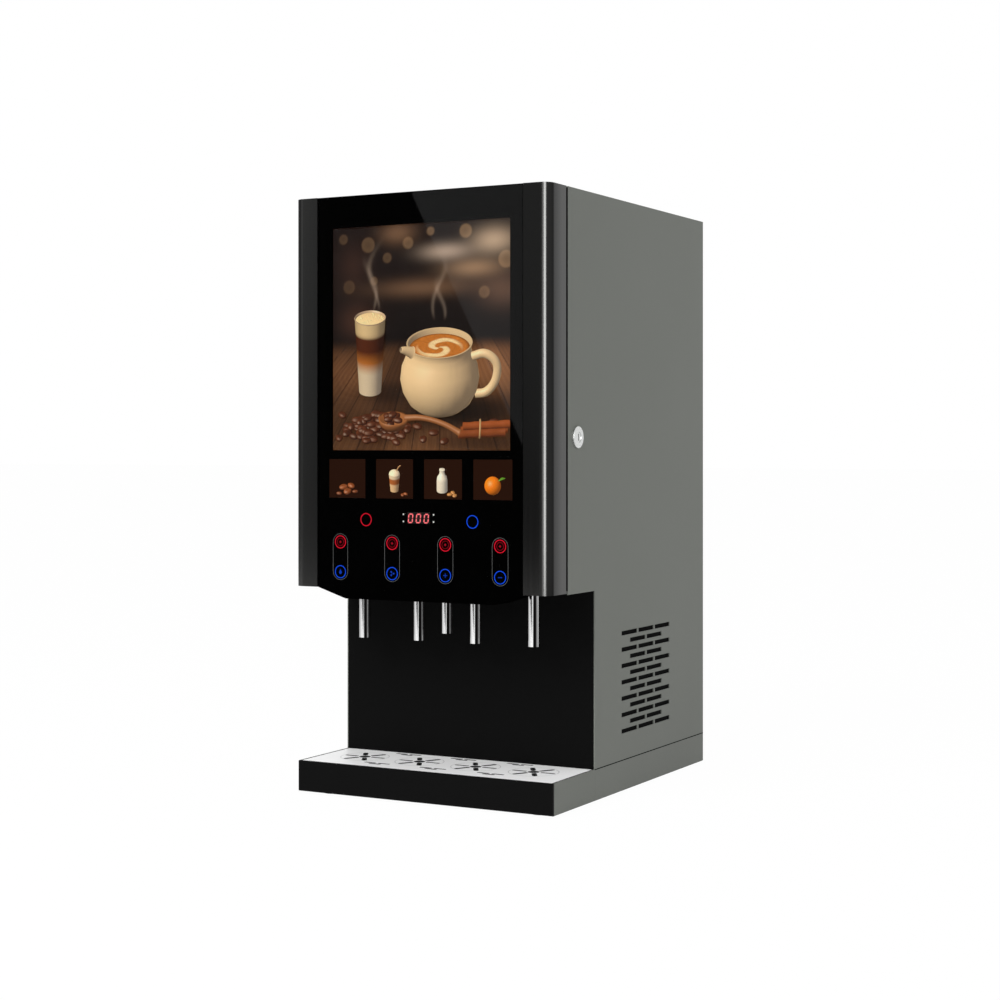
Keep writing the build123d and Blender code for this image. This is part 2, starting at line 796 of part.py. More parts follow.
with BuildPart() as door_catch:
    with BuildSketch(Plane.XY.offset(catch_low_z)):
        with BuildLine():
            Polyline(
                (catch_x + catch_thickness, door_back_y),
                (catch_x + catch_thickness, catch_back_y - catch_thickness),
                (catch_x + catch_lip + catch_thickness, catch_back_y - catch_thickness),
                (catch_x + catch_lip + catch_thickness, catch_back_y),
                (catch_x, catch_back_y),
                (catch_x, door_back_y + catch_thickness),
                (catch_x - catch_foot, door_back_y + catch_thickness),
                (catch_x - catch_foot, door_back_y),
                close=True,
            )
        make_face()
    extrude(amount=catch_width)
door_catch.part.label = "door_catch"
export_step(door_catch.part, "parts/door_catch.step")

# Three butt hinges in the seam: the middle knuckle turns with the door
knuckle_length = hinge_length / knuckle_share
fixed_leaf_y = head_front_y - leaf_thickness


def knuckle(z_low, z_high, hole_radius):
    """One hinge knuckle around the door's axis."""
    with BuildSketch(Plane.XY.offset(z_low)) as ring:
        with Locations((hinge_x, hinge_y)):
            Circle(knuckle_radius)
            Circle(hole_radius, mode=Mode.SUBTRACT)
    extrude(ring.sketch, amount=z_high - z_low)


def leaf(z_low, z_high, y_low, x_low):
    """Flat part of a hinge leaf, from x_low to the leaf's far edge."""
    with BuildSketch(Plane.XY.offset(z_low)) as plate:
        rect(x_low, hinge_x + leaf_width, y_low, y_low + leaf_thickness)
        with Locations((hinge_x, hinge_y)):
            Circle(hinge_pin_radius + running_gap, mode=Mode.SUBTRACT)
    extrude(plate.sketch, amount=z_high - z_low)


leaf_root_x = hinge_x + knuckle_radius + 2 * slide_gap
with BuildPart() as hinge_door_leaves:
    for z in hinge_zs:
        knuckle_low = z - knuckle_length / 2 + slide_gap
        knuckle_high = z + knuckle_length / 2 - slide_gap
        knuckle(knuckle_low, knuckle_high, hinge_pin_radius + running_gap)
        leaf(knuckle_low, knuckle_high, door_back_y, hinge_x + hinge_pin_radius)
        leaf(z - hinge_length / 2, z + hinge_length / 2, door_back_y, leaf_root_x)
hinge_door_leaves.part.label = "hinge_door_leaves"
export_step(hinge_door_leaves.part, "parts/hinge_door_leaves.step")

with BuildPart() as hinge_fixed_leaves:
    for z in hinge_zs:
        for z_low in (z - hinge_length / 2, z + knuckle_length / 2 + slide_gap):
            z_high = z_low + knuckle_length - slide_gap
            knuckle(z_low, z_high, hinge_pin_radius)
            leaf(z_low, z_high, fixed_leaf_y, hinge_x + hinge_pin_radius)
        leaf(z - hinge_length / 2, z + hinge_length / 2, fixed_leaf_y, leaf_root_x)
        with BuildSketch(Plane.XY.offset(z - hinge_length / 2)):
            with Locations((hinge_x, hinge_y)):
                Circle(hinge_pin_radius)
        extrude(amount=hinge_length)
hinge_fixed_leaves.part.label = "hinge_fixed_leaves"
export_step(hinge_fixed_leaves.part, "parts/hinge_fixed_leaves.step")

# ====================================================================
# Lock
# ====================================================================
barrel_inner_x = half_width - lock_barrel_length

with BuildPart() as lock_housing:
    with BuildSketch(along(half_width)):
        with Locations((lock_y, lock_height)):
            Circle(lock_face_radius)
    extrude(amount=lock_face_thickness)
    fillet(lock_housing.edges().group_by(Axis.X)[-1], radius=1.0)
    with BuildSketch(along(barrel_inner_x)):
        with Locations((lock_y, lock_height)):
            Circle(lock_barrel_radius)
    extrude(amount=lock_barrel_length)
    with BuildSketch(along(inner_half - lock_nut_thickness)):
        with Locations((lock_y, lock_height)):
            RegularPolygon(lock_nut_width / 2, 6, major_radius=False)
    extrude(amount=lock_nut_thickness)
    with BuildSketch(along(barrel_inner_x)):
        with Locations((lock_y, lock_height)):
            Circle(lock_plug_radius + running_gap)
    extrude(amount=lock_barrel_length + lock_face_thickness, mode=Mode.SUBTRACT)
lock_housing.part.label = "lock_housing"
export_step(lock_housing.part, "parts/lock_housing.step")

with BuildPart() as lock_plug:
    with BuildSketch(along(cam_x - cam_thickness)):
        with Locations((lock_y, lock_height)):
            Circle(lock_plug_radius)
    extrude(amount=half_width + lock_face_thickness - 0.6 - cam_x + cam_thickness)
    with BuildSketch(along(cam_x)):
        with Locations((lock_y - (cam_length - cam_width / 2) / 2, lock_height)):
            SlotOverall(cam_length + cam_width / 2, cam_width)
    extrude(amount=cam_thickness - slide_gap)
    with BuildSketch(along(half_width + lock_face_thickness)):
        with Locations((lock_y, lock_height)):
            Rectangle(key_slot_width, key_slot_height)
    extrude(amount=-key_slot_depth, mode=Mode.SUBTRACT)
lock_plug.part.label = "lock_plug"
export_step(lock_plug.part, "parts/lock_plug.step")

# ====================================================================
# Drink outlets
# ====================================================================
nozzle_bottom_z = chamber_axis_z - chamber_radius - nozzle_length
spout_top_z = nozzle_bottom_z + spout_overlap
spout_bore = spout_radius - spout_wall

with BuildPart() as drink_spouts:
    with BuildSketch(Plane.XY.offset(spout_bottom)):
        with Locations(*[(x, outlet_y) for x in outlet_xs]):
            Circle(spout_radius)
    extrude(amount=spout_top_z - spout_bottom)
    with BuildSketch(Plane.XY.offset(floor_z)):
        with Locations(*[(x, outlet_y) for x in outlet_xs]):
            Circle(collar_radius)
    extrude(amount=collar_thickness)
    with BuildSketch(Plane.XY.offset(spout_bottom)):
        with Locations(*[(x, outlet_y) for x in outlet_xs]):
            Circle(spout_bore)
    extrude(amount=spout_top_z - spout_bottom, mode=Mode.SUBTRACT)
drink_spouts.part.label = "drink_spouts"
export_step(drink_spouts.part, "parts/drink_spouts.step")

with BuildPart() as water_spout:
    with BuildSketch(Plane.XY.offset(water_spout_bottom)):
        with Locations((0, outlet_y)):
            Circle(spout_radius)
    extrude(amount=water_spout_top - water_spout_bottom)
    with BuildSketch(Plane.XY.offset(floor_z)):
        with Locations((0, outlet_y)):
            Circle(collar_radius)
    extrude(amount=collar_thickness)
    with BuildSketch(Plane.XY.offset(water_spout_bottom)):
        with Locations((0, outlet_y)):
            Circle(spout_bore)
    extrude(amount=water_spout_top - water_spout_bottom - spout_wall, mode=Mode.SUBTRACT)
    with BuildSketch(Plane.XY.offset(water_spout_bottom)):
        with Locations((0, outlet_y)):
            Circle(hose_radius)
    extrude(amount=water_spout_top - water_spout_bottom, mode=Mode.SUBTRACT)
water_spout.part.label = "water_spout"
export_step(water_spout.part, "parts/water_spout.step")

# ====================================================================
# Mixing bowls, whippers and their motors
# ====================================================================
bowl_y = outlet_y + bowl_setback
chamber_front_y = outlet_y - chamber_front_reach
chamber_back_y = chamber_front_y + chamber_length
chamber_bore = chamber_radius - bowl_wall
plug_z = bowl_neck_z - neck_plug
socket_bore = bowl_neck_radius + seat_gap
socket_top_z = bowl_neck_z - seat_gap
boss_radius = 12.0
foot_ring_radius = 16.0
port_reach = 6.5  # of the water port behind the funnel's rim
port_wall_y = bowl_y + bowl_neck_radius
port_back_y = bowl_y + bowl_rim_radius + port_reach
nozzle_radius = spout_bore - seat_gap
nozzle_wall = 1.2


def funnel_form(x, inset):
    """Solid funnel of revolution with its neck, smaller by inset."""
    with BuildSketch(across(bowl_y)) as half:
        with BuildLine() as outline:
            Polyline(
                (x, plug_z),
                (x + bowl_neck_radius - inset, plug_z),
                (x + bowl_neck_radius - inset, bowl_neck_z),
                (x + bowl_rim_radius - inset, bowl_top_z - 2 * bowl_wall),
                (x + bowl_rim_radius - inset, bowl_top_z),
                (x, bowl_top_z),
                close=True,
            )
        make_face(outline.edges())
    return revolve(half.sketch, axis=Axis((x, bowl_y, 0), (0, 0, 1)), mode=Mode.PRIVATE)


for number, x in enumerate(outlet_xs, start=1):
    # funnel with its water port; the neck plugs into the chamber
    with BuildPart() as funnel:
        add(funnel_form(x, 0.0))
        with BuildSketch(across(port_wall_y)):
            with Locations((x, port_z)):
                Circle(port_radius)
        extrude(amount=-(port_back_y - port_wall_y))
        add(funnel_form(x, bowl_wall), mode=Mode.SUBTRACT)
        with BuildSketch(across(bowl_y)):
            with Locations((x, port_z)):
                Circle(valve_nozzle_radius + seat_gap)
        extrude(amount=-(port_back_y - bowl_y), mode=Mode.SUBTRACT)

    # whipping chamber: a cup on its side, with a socket above and a nozzle below
    with BuildPart() as chamber:
        with BuildSketch(across(chamber_front_y)):
            with Locations((x, chamber_axis_z)):
                Circle(chamber_radius)
        extrude(amount=-chamber_length)
        with BuildSketch(Plane.XY.offset(chamber_axis_z)):
            with Locations((x, bowl_y)):
                Circle(socket_bore + bowl_wall)
        extrude(amount=socket_top_z - chamber_axis_z)
        with BuildSketch(Plane.XY.offset(nozzle_bottom_z)):
            with Locations((x, outlet_y)):
                Circle(nozzle_radius)
        extrude(amount=nozzle_length + chamber_radius)
        with BuildSketch(across(chamber_front_y + bowl_wall)):
            with Locations((x, chamber_axis_z)):
                Circle(chamber_bore)
        extrude(amount=-(chamber_length - bowl_wall), mode=Mode.SUBTRACT)
        with BuildSketch(Plane.XY.offset(chamber_axis_z)):
            with Locations((x, bowl_y)):
                Circle(socket_bore)
        extrude(amount=socket_top_z - chamber_axis_z, mode=Mode.SUBTRACT)
        with BuildSketch(Plane.XY.offset(nozzle_bottom_z)):
            with Locations((x, outlet_y)):
                Circle(nozzle_radius - nozzle_wall)
        extrude(amount=nozzle_length + chamber_radius, mode=Mode.SUBTRACT)

    # rear flange that closes the chamber and guides the whipper's shaft
    with BuildPart() as bearing_flange:
        with BuildSketch(across(chamber_back_y - bowl_wall)):
            with Locations((x, chamber_axis_z)):
                Circle(chamber_bore - seat_gap)
        extrude(amount=-(bowl_wall + seat_gap))
        with BuildSketch(across(chamber_back_y + seat_gap)):
            with Locations((x, chamber_axis_z)):
                Circle(chamber_radius)
        extrude(amount=-bowl_wall)
        with BuildSketch(across(chamber_back_y + seat_gap + bowl_wall)):
            with Locations((x, chamber_axis_z)):
                Circle(boss_radius)
        extrude(amount=-(module_y - chamber_back_y - seat_gap - bowl_wall))
        with BuildSketch(across(module_y)):
            with Locations((x, chamber_axis_z)):
                Circle(foot_ring_radius)
        extrude(amount=bowl_wall)
        with BuildSketch(across(chamber_back_y + seat_gap + bowl_wall)):
            with Locations((x, chamber_axis_z)):
                Circle(boss_radius - bowl_wall)
        extrude(amount=-(module_y - chamber_back_y), mode=Mode.SUBTRACT)
        with BuildSketch(across(chamber_back_y - bowl_wall)):
            with Locations((x, chamber_axis_z)):
                Circle(whipper_shaft_radius + running_gap)
        extrude(amount=-(2 * bowl_wall + seat_gap), mode=Mode.SUBTRACT)

    export_group(f"mixing_bowl_{number}", funnel, chamber, bearing_flange)

impeller_back_y = chamber_back_y - bowl_wall - 3.0
impeller_disc = 1.5
shaft_end_y = module_back_y + bearing_depth - 0.5

for number, x in enumerate(outlet_xs, start=1):
    with BuildPart() as whipper:
        with BuildSketch(across(impeller_back_y)):
            with Locations((x, chamber_axis_z)):
                Circle(impeller_radius)
        extrude(amount=impeller_disc)
        with BuildSketch(across(impeller_back_y)):
            with Locations((x, chamber_axis_z)):
                Circle(2 * whipper_shaft_radius)
                with PolarLocations(impeller_radius / 2, impeller_vanes):
                    Rectangle(impeller_radius, vane_thickness)
        extrude(amount=impeller_length)
        with BuildSketch(across(impeller_back_y)):
            with Locations((x, chamber_axis_z)):
                Circle(whipper_shaft_radius)
        extrude(amount=-(shaft_end_y - impeller_back_y))
    whipper.part.label = f"whipper_{number}"
    export_step(whipper.part, f"parts/whipper_{number}.step")

terminal_length = 6.0
with BuildPart() as whipper_motors:
    with BuildSketch(across(module_back_y)):
        with Locations(*[(x, chamber_axis_z) for x in outlet_xs]):
            Circle(whipper_motor_radius)
    extrude(amount=-whipper_motor_length)
    fillet(whipper_motors.edges().group_by(Axis.Y)[-1], radius=2.5)
    with BuildSketch(across(module_back_y + whipper_motor_length)):
        with Locations(*[(x, chamber_axis_z) for x in outlet_xs]):
            Circle(whipper_motor_radius / 3)
            with GridLocations(1.6 * whipper_motor_radius / 2, 1, 2, 1):
                Rectangle(1.0, terminal_length)
    extrude(amount=-terminal_length)
    with BuildSketch(across(module_back_y)):
        with Locations(*[(x, chamber_axis_z) for x in outlet_xs]):
            Circle(whipper_shaft_radius + running_gap)
    extrude(amount=-bearing_depth, mode=Mode.SUBTRACT)
whipper_motors.part.label = "whipper_motors"
export_step(whipper_motors.part, "parts/whipper_motors.step")

# ====================================================================
# Powder hoppers, lids, augers and their motors
# ====================================================================
hopper_half = hopper_width / 2
hopper_top_z = shelf_height + hopper_height
shoulder_z = shelf_height + hopper_shoulder
trough_radius = auger_radius + trough_gap
nose_y = hopper_front_y - nose_length
elbow_back_y = hopper_front_y - seat_gap
deck_z = hopper_top_z - hopper_wall
lid_axis_y = hopper_front_y + mouth_length + 6.0
lid_axis_z = hopper_top_z + lid_axis_rise
ear_radius = 4.0
ear_x = hopper_half - hopper_wall - lid_ear_width / 2
chute_z = auger_z - chute_drop


def hopper_section(x, inset):
    """Section of a hopper in X and Z: straight sides, taper and round trough."""
    with BuildLine() as outline:
        Polyline(
            (x - hopper_half + inset, hopper_top_z - inset),
            (x + hopper_half - inset, hopper_top_z - inset),
            (x + hopper_half - inset, shoulder_z),
            (x + trough_radius + hopper_wall - inset, auger_z),
        )
        ThreePointArc(
            (x + trough_radius + hopper_wall - inset, auger_z),
            (x, auger_z - trough_radius - hopper_wall + inset),
            (x - trough_radius - hopper_wall + inset, auger_z),
        )
        Polyline(
            (x - trough_radius - hopper_wall + inset, auger_z),
            (x - hopper_half + inset, shoulder_z),
            (x - hopper_half + inset, hopper_top_z - inset),
        )
    make_face(outline.edges())


for number, x in enumerate(outlet_xs, start=1):
    with BuildPart() as canister:
        with BuildSketch(across(hopper_front_y)):
            hopper_section(x, 0.0)
        extrude(amount=-hopper_length)
        fillet(canister.edges().filter_by(Axis.Z), radius=hopper_corner)
        # runners that stand on the shelf
        with BuildSketch(across(shelf_front_y)):
            for side in (-1, 1):
                mid_x = x + side * (trough_radius - runner_width / 2)
                rect(mid_x - runner_width / 2, mid_x + runner_width / 2, shelf_height, auger_z)
        extrude(amount=-(hopper_back_y - shelf_front_y))
        # hollow inside, with the outlet hole; the deck closes the top
        with BuildSketch(across(hopper_front_y + hopper_wall)):
            hopper_section(x, hopper_wall)
        extrude(amount=-(hopper_length - 2 * hopper_wall), mode=Mode.SUBTRACT)
        with BuildSketch(across(hopper_front_y)):
            with Locations((x, auger_z)):
                Circle(trough_radius)
        extrude(amount=-hopper_wall, mode=Mode.SUBTRACT)
        with BuildSketch(Plane.XY.offset(deck_z - seat_gap)):
            rect(x - hopper_half, x + hopper_half, hopper_front_y, hopper_back_y)
        extrude(amount=hopper_wall + seat_gap, mode=Mode.SUBTRACT)
        # rear bearing of the auger
        with BuildSketch(across(hopper_back_y - hopper_wall)):
            with Locations((x, auger_z)):
                Circle(auger_shaft_radius + running_gap)
        extrude(amount=-hopper_wall, mode=Mode.SUBTRACT)

    # deck on the canister: the refill mouth, and the ears of the lid's hinge
    with BuildPart() as deck:
        with BuildSketch(Plane.XY.offset(deck_z)):
            with Locations((x, (hopper_front_y + hopper_back_y) / 2)):
                RectangleRounded(2 * hopper_half, hopper_length, hopper_corner)
            rect(
                x - hopper_half + 2 * hopper_wall,
                x + hopper_half - 2 * hopper_wall,
                hopper_front_y + 2 * hopper_wall,
                hopper_front_y + mouth_length,
                mode=Mode.SUBTRACT,
            )
        extrude(amount=hopper_wall)
        for side in (-1, 1):
            with BuildSketch(along(x + side * ear_x - lid_ear_width / 2)):
                with Locations((lid_axis_y, lid_axis_z)):
                    Circle(ear_radius)
                rect(lid_axis_y - ear_radius, lid_axis_y + ear_radius, hopper_top_z - 1.0, lid_axis_z)
                with Locations((lid_axis_y, lid_axis_z)):
                    Circle(lid_pin_radius + running_gap, mode=Mode.SUBTRACT)
            extrude(amount=lid_ear_width)

    # outlet elbow, flanged to the canister: front bearing, and chute over the bowl
    with BuildPart() as elbow:
        with BuildSketch(across(nose_y)):
            with Locations((x, auger_z)):
                Circle(trough_radius + hopper_wall)
        extrude(amount=-(elbow_back_y - nose_y))
        with BuildSketch(across(elbow_back_y)):
            with Locations((x, auger_z)):
                Circle(elbow_flange_radius)
        extrude(amount=hopper_wall)
        with BuildSketch(Plane.XY.offset(chute_z)):
            with Locations((x, bowl_y)):
                RectangleRounded(2 * (chute_half + chute_wall), 2 * (chute_half + chute_wall), 3.0)
        extrude(amount=auger_z - chute_z)
        with BuildSketch(across(nose_y + hopper_wall)):
            with Locations((x, auger_z)):
                Circle(trough_radius)
        extrude(amount=-(elbow_back_y - nose_y - hopper_wall), mode=Mode.SUBTRACT)
        with BuildSketch(Plane.XY.offset(chute_z)):
            with Locations((x, bowl_y)):
                RectangleRounded(2 * chute_half, 2 * chute_half, 2.0)
        extrude(amount=auger_z - chute_z, mode=Mode.SUBTRACT)
        with BuildSketch(across(nose_y)):
            with Locations((x, auger_z)):
                Circle(auger_shaft_radius + running_gap)
        extrude(amount=-hopper_wall, mode=Mode.SUBTRACT)

    export_group(f"hopper_{number}", canister, deck, elbow)


lid_low_z = hopper_top_z + slide_gap
lid_back_y = lid_axis_y - ear_radius - 3 * slide_gap
lid_front_y = hopper_front_y - slide_gap - lid_thickness
tab_half = ear_x - lid_ear_width / 2 - slide_gap

for number, x in enumerate(outlet_xs, start=1):
    with BuildPart() as hopper_lid:
        with BuildSketch(Plane.XY.offset(lid_low_z)):
            rect(x - hopper_half, x + hopper_half, lid_front_y, lid_back_y)
        extrude(amount=lid_thickness)
        fillet(hopper_lid.edges().filter_by(Axis.Z).group_by(Axis.Y)[0], radius=5.0)
        # finger lip down the hopper's front
        with BuildSketch(Plane.XY.offset(lid_low_z - lid_lip)):
            rect(x - hopper_half / 2, x + hopper_half / 2, lid_front_y, lid_front_y + lid_thickness)
        extrude(amount=lid_lip)
        # raised rim
        with BuildSketch(Plane.XY.offset(lid_low_z + lid_thickness)):
            with Locations((x, (lid_front_y + lid_back_y) / 2)):
                RectangleRounded(hopper_width * 0.7, mouth_length * 0.7, 6.0)
        extrude(amount=1.2)
        # hinge tab with its cross pin
        with BuildSketch(Plane.XY.offset(lid_low_z)):
            rect(x - tab_half, x + tab_half, lid_back_y, lid_axis_y)
        extrude(amount=lid_axis_z - lid_low_z)
        with BuildSketch(along(x - ear_x - lid_ear_width / 2)):
            with Locations((lid_axis_y, lid_axis_z)):
                Circle(lid_pin_radius)
        extrude(amount=2 * ear_x + lid_ear_width)
    hopper_lid.part.label = f"hopper_lid_{number}"
    export_step(hopper_lid.part, f"parts/hopper_lid_{number}.step")

blade_count_auger = auger_turns * auger_blades_per_turn
blade_reach = auger_radius - 0.5
blade_inner = auger_shaft_radius - 1.0
blade_width = 9.6
blade_tilt = 28.0  # degrees
coupling_front_y = hopper_back_y + slide_gap
coupling_back_y = coupling_front_y + coupling_length
auger_first_y = bowl_y - chute_half + 3.0
auger_last_y = hopper_back_y - hopper_wall - 5.0

for number, x in enumerate(outlet_xs, start=1):
    with BuildPart() as auger:
        with BuildSketch(across(nose_y - 0.5)):
            with Locations((x, auger_z)):
                Circle(auger_shaft_radius)
        extrude(amount=-(coupling_front_y + 1.0 - nose_y + 0.5))
        with BuildSketch(across(coupling_front_y)):
            with Locations((x, auger_z)):
                Circle(coupling_radius)
        extrude(amount=-coupling_length)
        with BuildSketch(across(coupling_back_y)):
            with Locations((x, auger_z)):
                Circle(spindle_radius + running_gap)
        extrude(amount=coupling_length - 2.0, mode=Mode.SUBTRACT)
        # flights: short tilted blades that follow a screw line
        for i in range(blade_count_auger):
            share = i / (blade_count_auger - 1)
            y = auger_first_y + share * (auger_last_y - auger_first_y)
            turn = 360.0 / auger_blades_per_turn * i
            spot = (
                Location((x, y, auger_z), (0, turn, 0))
                * Location(((blade_inner + blade_reach) / 2, 0, 0), (blade_tilt, 0, 0))
            )
            with Locations(spot):
                Box(blade_reach - blade_inner, blade_thickness, blade_width)
    auger.part.label = f"auger_{number}"
    export_step(auger.part, f"parts/auger_{number}.step")

gear_front_y = shelf_back_y + shelf_sheet
gear_mid_z = shelf_height + slide_gap + gear_motor_height / 2
with BuildPart() as auger_motors:
    with BuildSketch(across(gear_front_y)):
        with Locations(*[(x, gear_mid_z) for x in outlet_xs]):
            RectangleRounded(gear_motor_width, gear_motor_height, 5.0)
    extrude(amount=-gear_motor_length)
    with BuildSketch(across(gear_front_y + gear_motor_length)):
        with Locations(*[(x, gear_mid_z + 4.0) for x in outlet_xs]):
            Circle(motor_can_radius)
    extrude(amount=-motor_can_length)
    fillet(auger_motors.edges().group_by(Axis.Y)[-1], radius=2.0)
    with BuildSketch(across(gear_front_y)):
        with Locations(*[(x, auger_z) for x in outlet_xs]):
            Circle(spindle_radius)
    extrude(amount=gear_front_y - coupling_back_y + coupling_length - 3.0)
auger_motors.part.label = "auger_motors"
export_step(auger_motors.part, "parts/auger_motors.step")

# ====================================================================
# Water system: boiler, cold tank, valves and hoses
# ====================================================================
tank_y = tray_front_y + tank_setback
boiler_top_z = shelf_under_z - boiler_headroom
boiler_height = boiler_top_z - floor_z
tank_height = shelf_under_z - tank_headroom - floor_z
boiler_wall_height = 0.8 * boiler_height
fitting_radius = 8.0
clamp_height = 10.0
clamp_thickness = 2.0

with BuildPart() as boiler:
    with BuildSketch(across(tank_y)):
        with BuildLine():
            Polyline(
                (-tank_offset, boiler_top_z),
                (-tank_offset, floor_z),
                (-tank_offset + boiler_radius, floor_z),
                (-tank_offset + boiler_radius, floor_z + boiler_wall_height),
            )
            ThreePointArc(
                (-tank_offset + boiler_radius, floor_z + boiler_wall_height),
                (-tank_offset + 0.8 * boiler_radius, floor_z + 0.9 * boiler_height),
                (-tank_offset + fitting_radius, boiler_top_z - fitting_radius),
            )
            Polyline(
                (-tank_offset + fitting_radius, boiler_top_z - fitting_radius),
                (-tank_offset + fitting_radius, boiler_top_z),
                (-tank_offset, boiler_top_z),
            )
        make_face()
    revolve(axis=Axis((-tank_offset, tank_y, 0), (0, 0, 1)))
    # clamp bands round the insulation, above and below the hose
    for share in (0.12, 0.62):
        with BuildSketch(Plane.XY.offset(floor_z + share * boiler_height)):
            with Locations((-tank_offset, tank_y)):
                Circle(boiler_radius + clamp_thickness)
        extrude(amount=clamp_height)
boiler.part.label = "boiler"
export_step(boiler.part, "parts/boiler.step")

tank_lid_overhang = 3.0
tank_lid_thickness = 8.0
with BuildPart() as cold_tank:
    with BuildSketch(Plane.XY.offset(floor_z)):
        with Locations((tank_offset, tank_y)):
            RectangleRounded(tank_width, tank_depth, 10.0)
    extrude(amount=tank_height)
    with BuildSketch(Plane.XY.offset(floor_z + tank_height)):
        with Locations((tank_offset, tank_y)):
            RectangleRounded(tank_width + 2 * tank_lid_overhang, tank_depth + 2 * tank_lid_overhang, 12.0)
    extrude(amount=tank_lid_thickness)
    fillet(cold_tank.edges().group_by(Axis.Z)[-1], radius=2.0)
cold_tank.part.label = "cold_tank"
export_step(cold_tank.part, "parts/cold_tank.step")

manifold_radius = 6.0
manifold_y = module_back_y + valve_depth + manifold_radius - 2.0
coil_width = 20.0
coil_height = 16.0
nozzle_front_y = port_back_y - 8.0
inlet_body_width = 30.0

with BuildPart() as water_valves:
    for x in outlet_xs:
        with BuildSketch(across(module_back_y)):
            with Locations((x, port_z)):
                Rectangle(valve_width, valve_height)
        extrude(amount=-valve_depth)
        with BuildSketch(across(module_back_y)):
            with Locations((x, port_z)):
                Circle(valve_nozzle_radius)
        extrude(amount=module_back_y - nozzle_front_y)
        with BuildSketch(Plane.XY.offset(port_z + valve_height / 2)):
            with Locations((x, module_back_y + flange + coil_width / 2)):
                RectangleRounded(coil_width, coil_width, 3.0)
        extrude(amount=coil_height)
    with BuildSketch(along(outlet_xs[0] - valve_width / 2)):
        with Locations((manifold_y, port_z)):
            Circle(manifold_radius)
    extrude(amount=outlet_xs[-1] - outlet_xs[0] + valve_width)
    # supply valve on the back panel, with the hose tail that sticks out
    with BuildSketch(across(back_inner_y)):
        with Locations((inlet_offset, inlet_height)):
            RectangleRounded(inlet_body_width, inlet_body_width, 4.0)
    extrude(amount=valve_depth)
    with BuildSketch(across(back_inner_y)):
        with Locations((inlet_offset, inlet_height)):
            Circle(inlet_neck_radius)
    extrude(amount=-sheet)
    with BuildSketch(across(back_y)):
        with Locations((inlet_offset, inlet_height)):
            RegularPolygon(inlet_nut_radius, 6, major_radius=False)
    extrude(amount=-inlet_nut_thickness)
    with BuildSketch(across(back_y + inlet_nut_thickness)):
        with Locations((inlet_offset, inlet_height)):
            Circle(inlet_radius)
    extrude(amount=-inlet_length)
water_valves.part.label = "water_valves"
export_step(water_valves.part, "parts/water_valves.step")

inlet_top_z = inlet_height + inlet_body_width / 2
inlet_run_z = floor_z + 28.0
feed_run_z = boiler_top_z + 13.0
feed_bend = 9.0


def hose(points, bend):
    """Round hose of the common bore that follows points with equal bends."""
    with BuildLine() as path:
        FilletPolyline(*points, radius=bend)
    start = path.line @ 0
    heading = path.line % 0
    with BuildSketch(Plane(origin=start, z_dir=heading)) as section:
        Circle(hose_radius)
    sweep(section.sketch, path=path.line)


with BuildPart() as water_hoses:
    # water spout to the tee between boiler and cold tank
    hose(
        [
            (0, outlet_y, water_spout_top - spout_wall),
            (0, outlet_y, hose_run_z),
            (0, tank_y, hose_run_z),
        ],
        hose_bend,
    )
    with BuildSketch(along(-tank_offset + boiler_radius)):
        with Locations((tank_y, hose_run_z)):
            Circle(hose_radius)
    extrude(amount=2 * tank_offset - boiler_radius - tank_width / 2)
    # supply valve to the cold tank
    hose(
        [
            (inlet_offset, inlet_hose_y, inlet_top_z),
            (inlet_offset, inlet_hose_y, inlet_run_z),
            (inlet_offset, tank_y + tank_depth / 2, inlet_run_z),
        ],
        hose_bend,
    )
    # boiler to the manifold of the valves
    hose(
        [
            (-tank_offset, tank_y, boiler_top_z),
            (-tank_offset, tank_y, feed_run_z),
            (-tank_offset, manifold_y, feed_run_z),
            (-tank_offset, manifold_y, port_z + manifold_radius),
        ],
        feed_bend,
    )
water_hoses.part.label = "water_hoses"
export_step(water_hoses.part, "parts/water_hoses.step")

# ====================================================================
# Cooling: compressor, condenser and fan
# ====================================================================
pan_floor_z = base_z + sheet
compressor_y = tray_front_y + compressor_setback
mount_plate = 3.0
mount_margin = 6.0

with BuildPart() as compressor:
    with BuildSketch(Plane.XY.offset(pan_floor_z)):
        with Locations((-compressor_offset, compressor_y)):
            RectangleRounded(
                2 * (compressor_radius + mount_margin), 2 * (compressor_radius + mount_margin), 12.0
            )
    extrude(amount=mount_plate)
    with BuildSketch(Plane.XY.offset(pan_floor_z + mount_plate)):
        with Locations((-compressor_offset, compressor_y)):
            Circle(compressor_radius)
    extrude(amount=compressor_height - mount_plate)
    fillet(compressor.edges().group_by(Axis.Z)[-1], radius=compressor_radius / 2)
    # welded joint of the two half shells
    with BuildSketch(Plane.XY.offset(pan_floor_z + compressor_height / 2)):
        with Locations((-compressor_offset, compressor_y)):
            Circle(compressor_radius + clamp_thickness)
    extrude(amount=mount_plate)
compressor.part.label = "compressor"
export_step(compressor.part, "parts/compressor.step")

condenser_y = tray_front_y + vent_setback
tube_radius = 4.0
with BuildPart() as condenser:
    # two plates on the pan, joined by the serpentine tubes
    fin_pitch = (condenser_length - fin_thickness) / (fin_count - 1)
    for i in range(fin_count):
        is_end = i in (0, fin_count - 1)
        fin_y = condenser_y - condenser_length / 2 + i * fin_pitch
        with BuildSketch(across(fin_y)):
            rect(
                condenser_offset - condenser_width / 2,
                condenser_offset + condenser_width / 2,
                pan_floor_z if is_end else pan_floor_z + 3 * fin_thickness,
                pan_floor_z + condenser_height,
            )
        extrude(amount=-fin_thickness)
    with BuildSketch(across(condenser_y - condenser_length / 2)):
        with Locations((condenser_offset, pan_floor_z + condenser_height / 2)):
            with GridLocations(condenser_width / 2, condenser_height / 4, 2, 4):
                Circle(tube_radius)
    extrude(amount=-condenser_length)
condenser.part.label = "condenser"
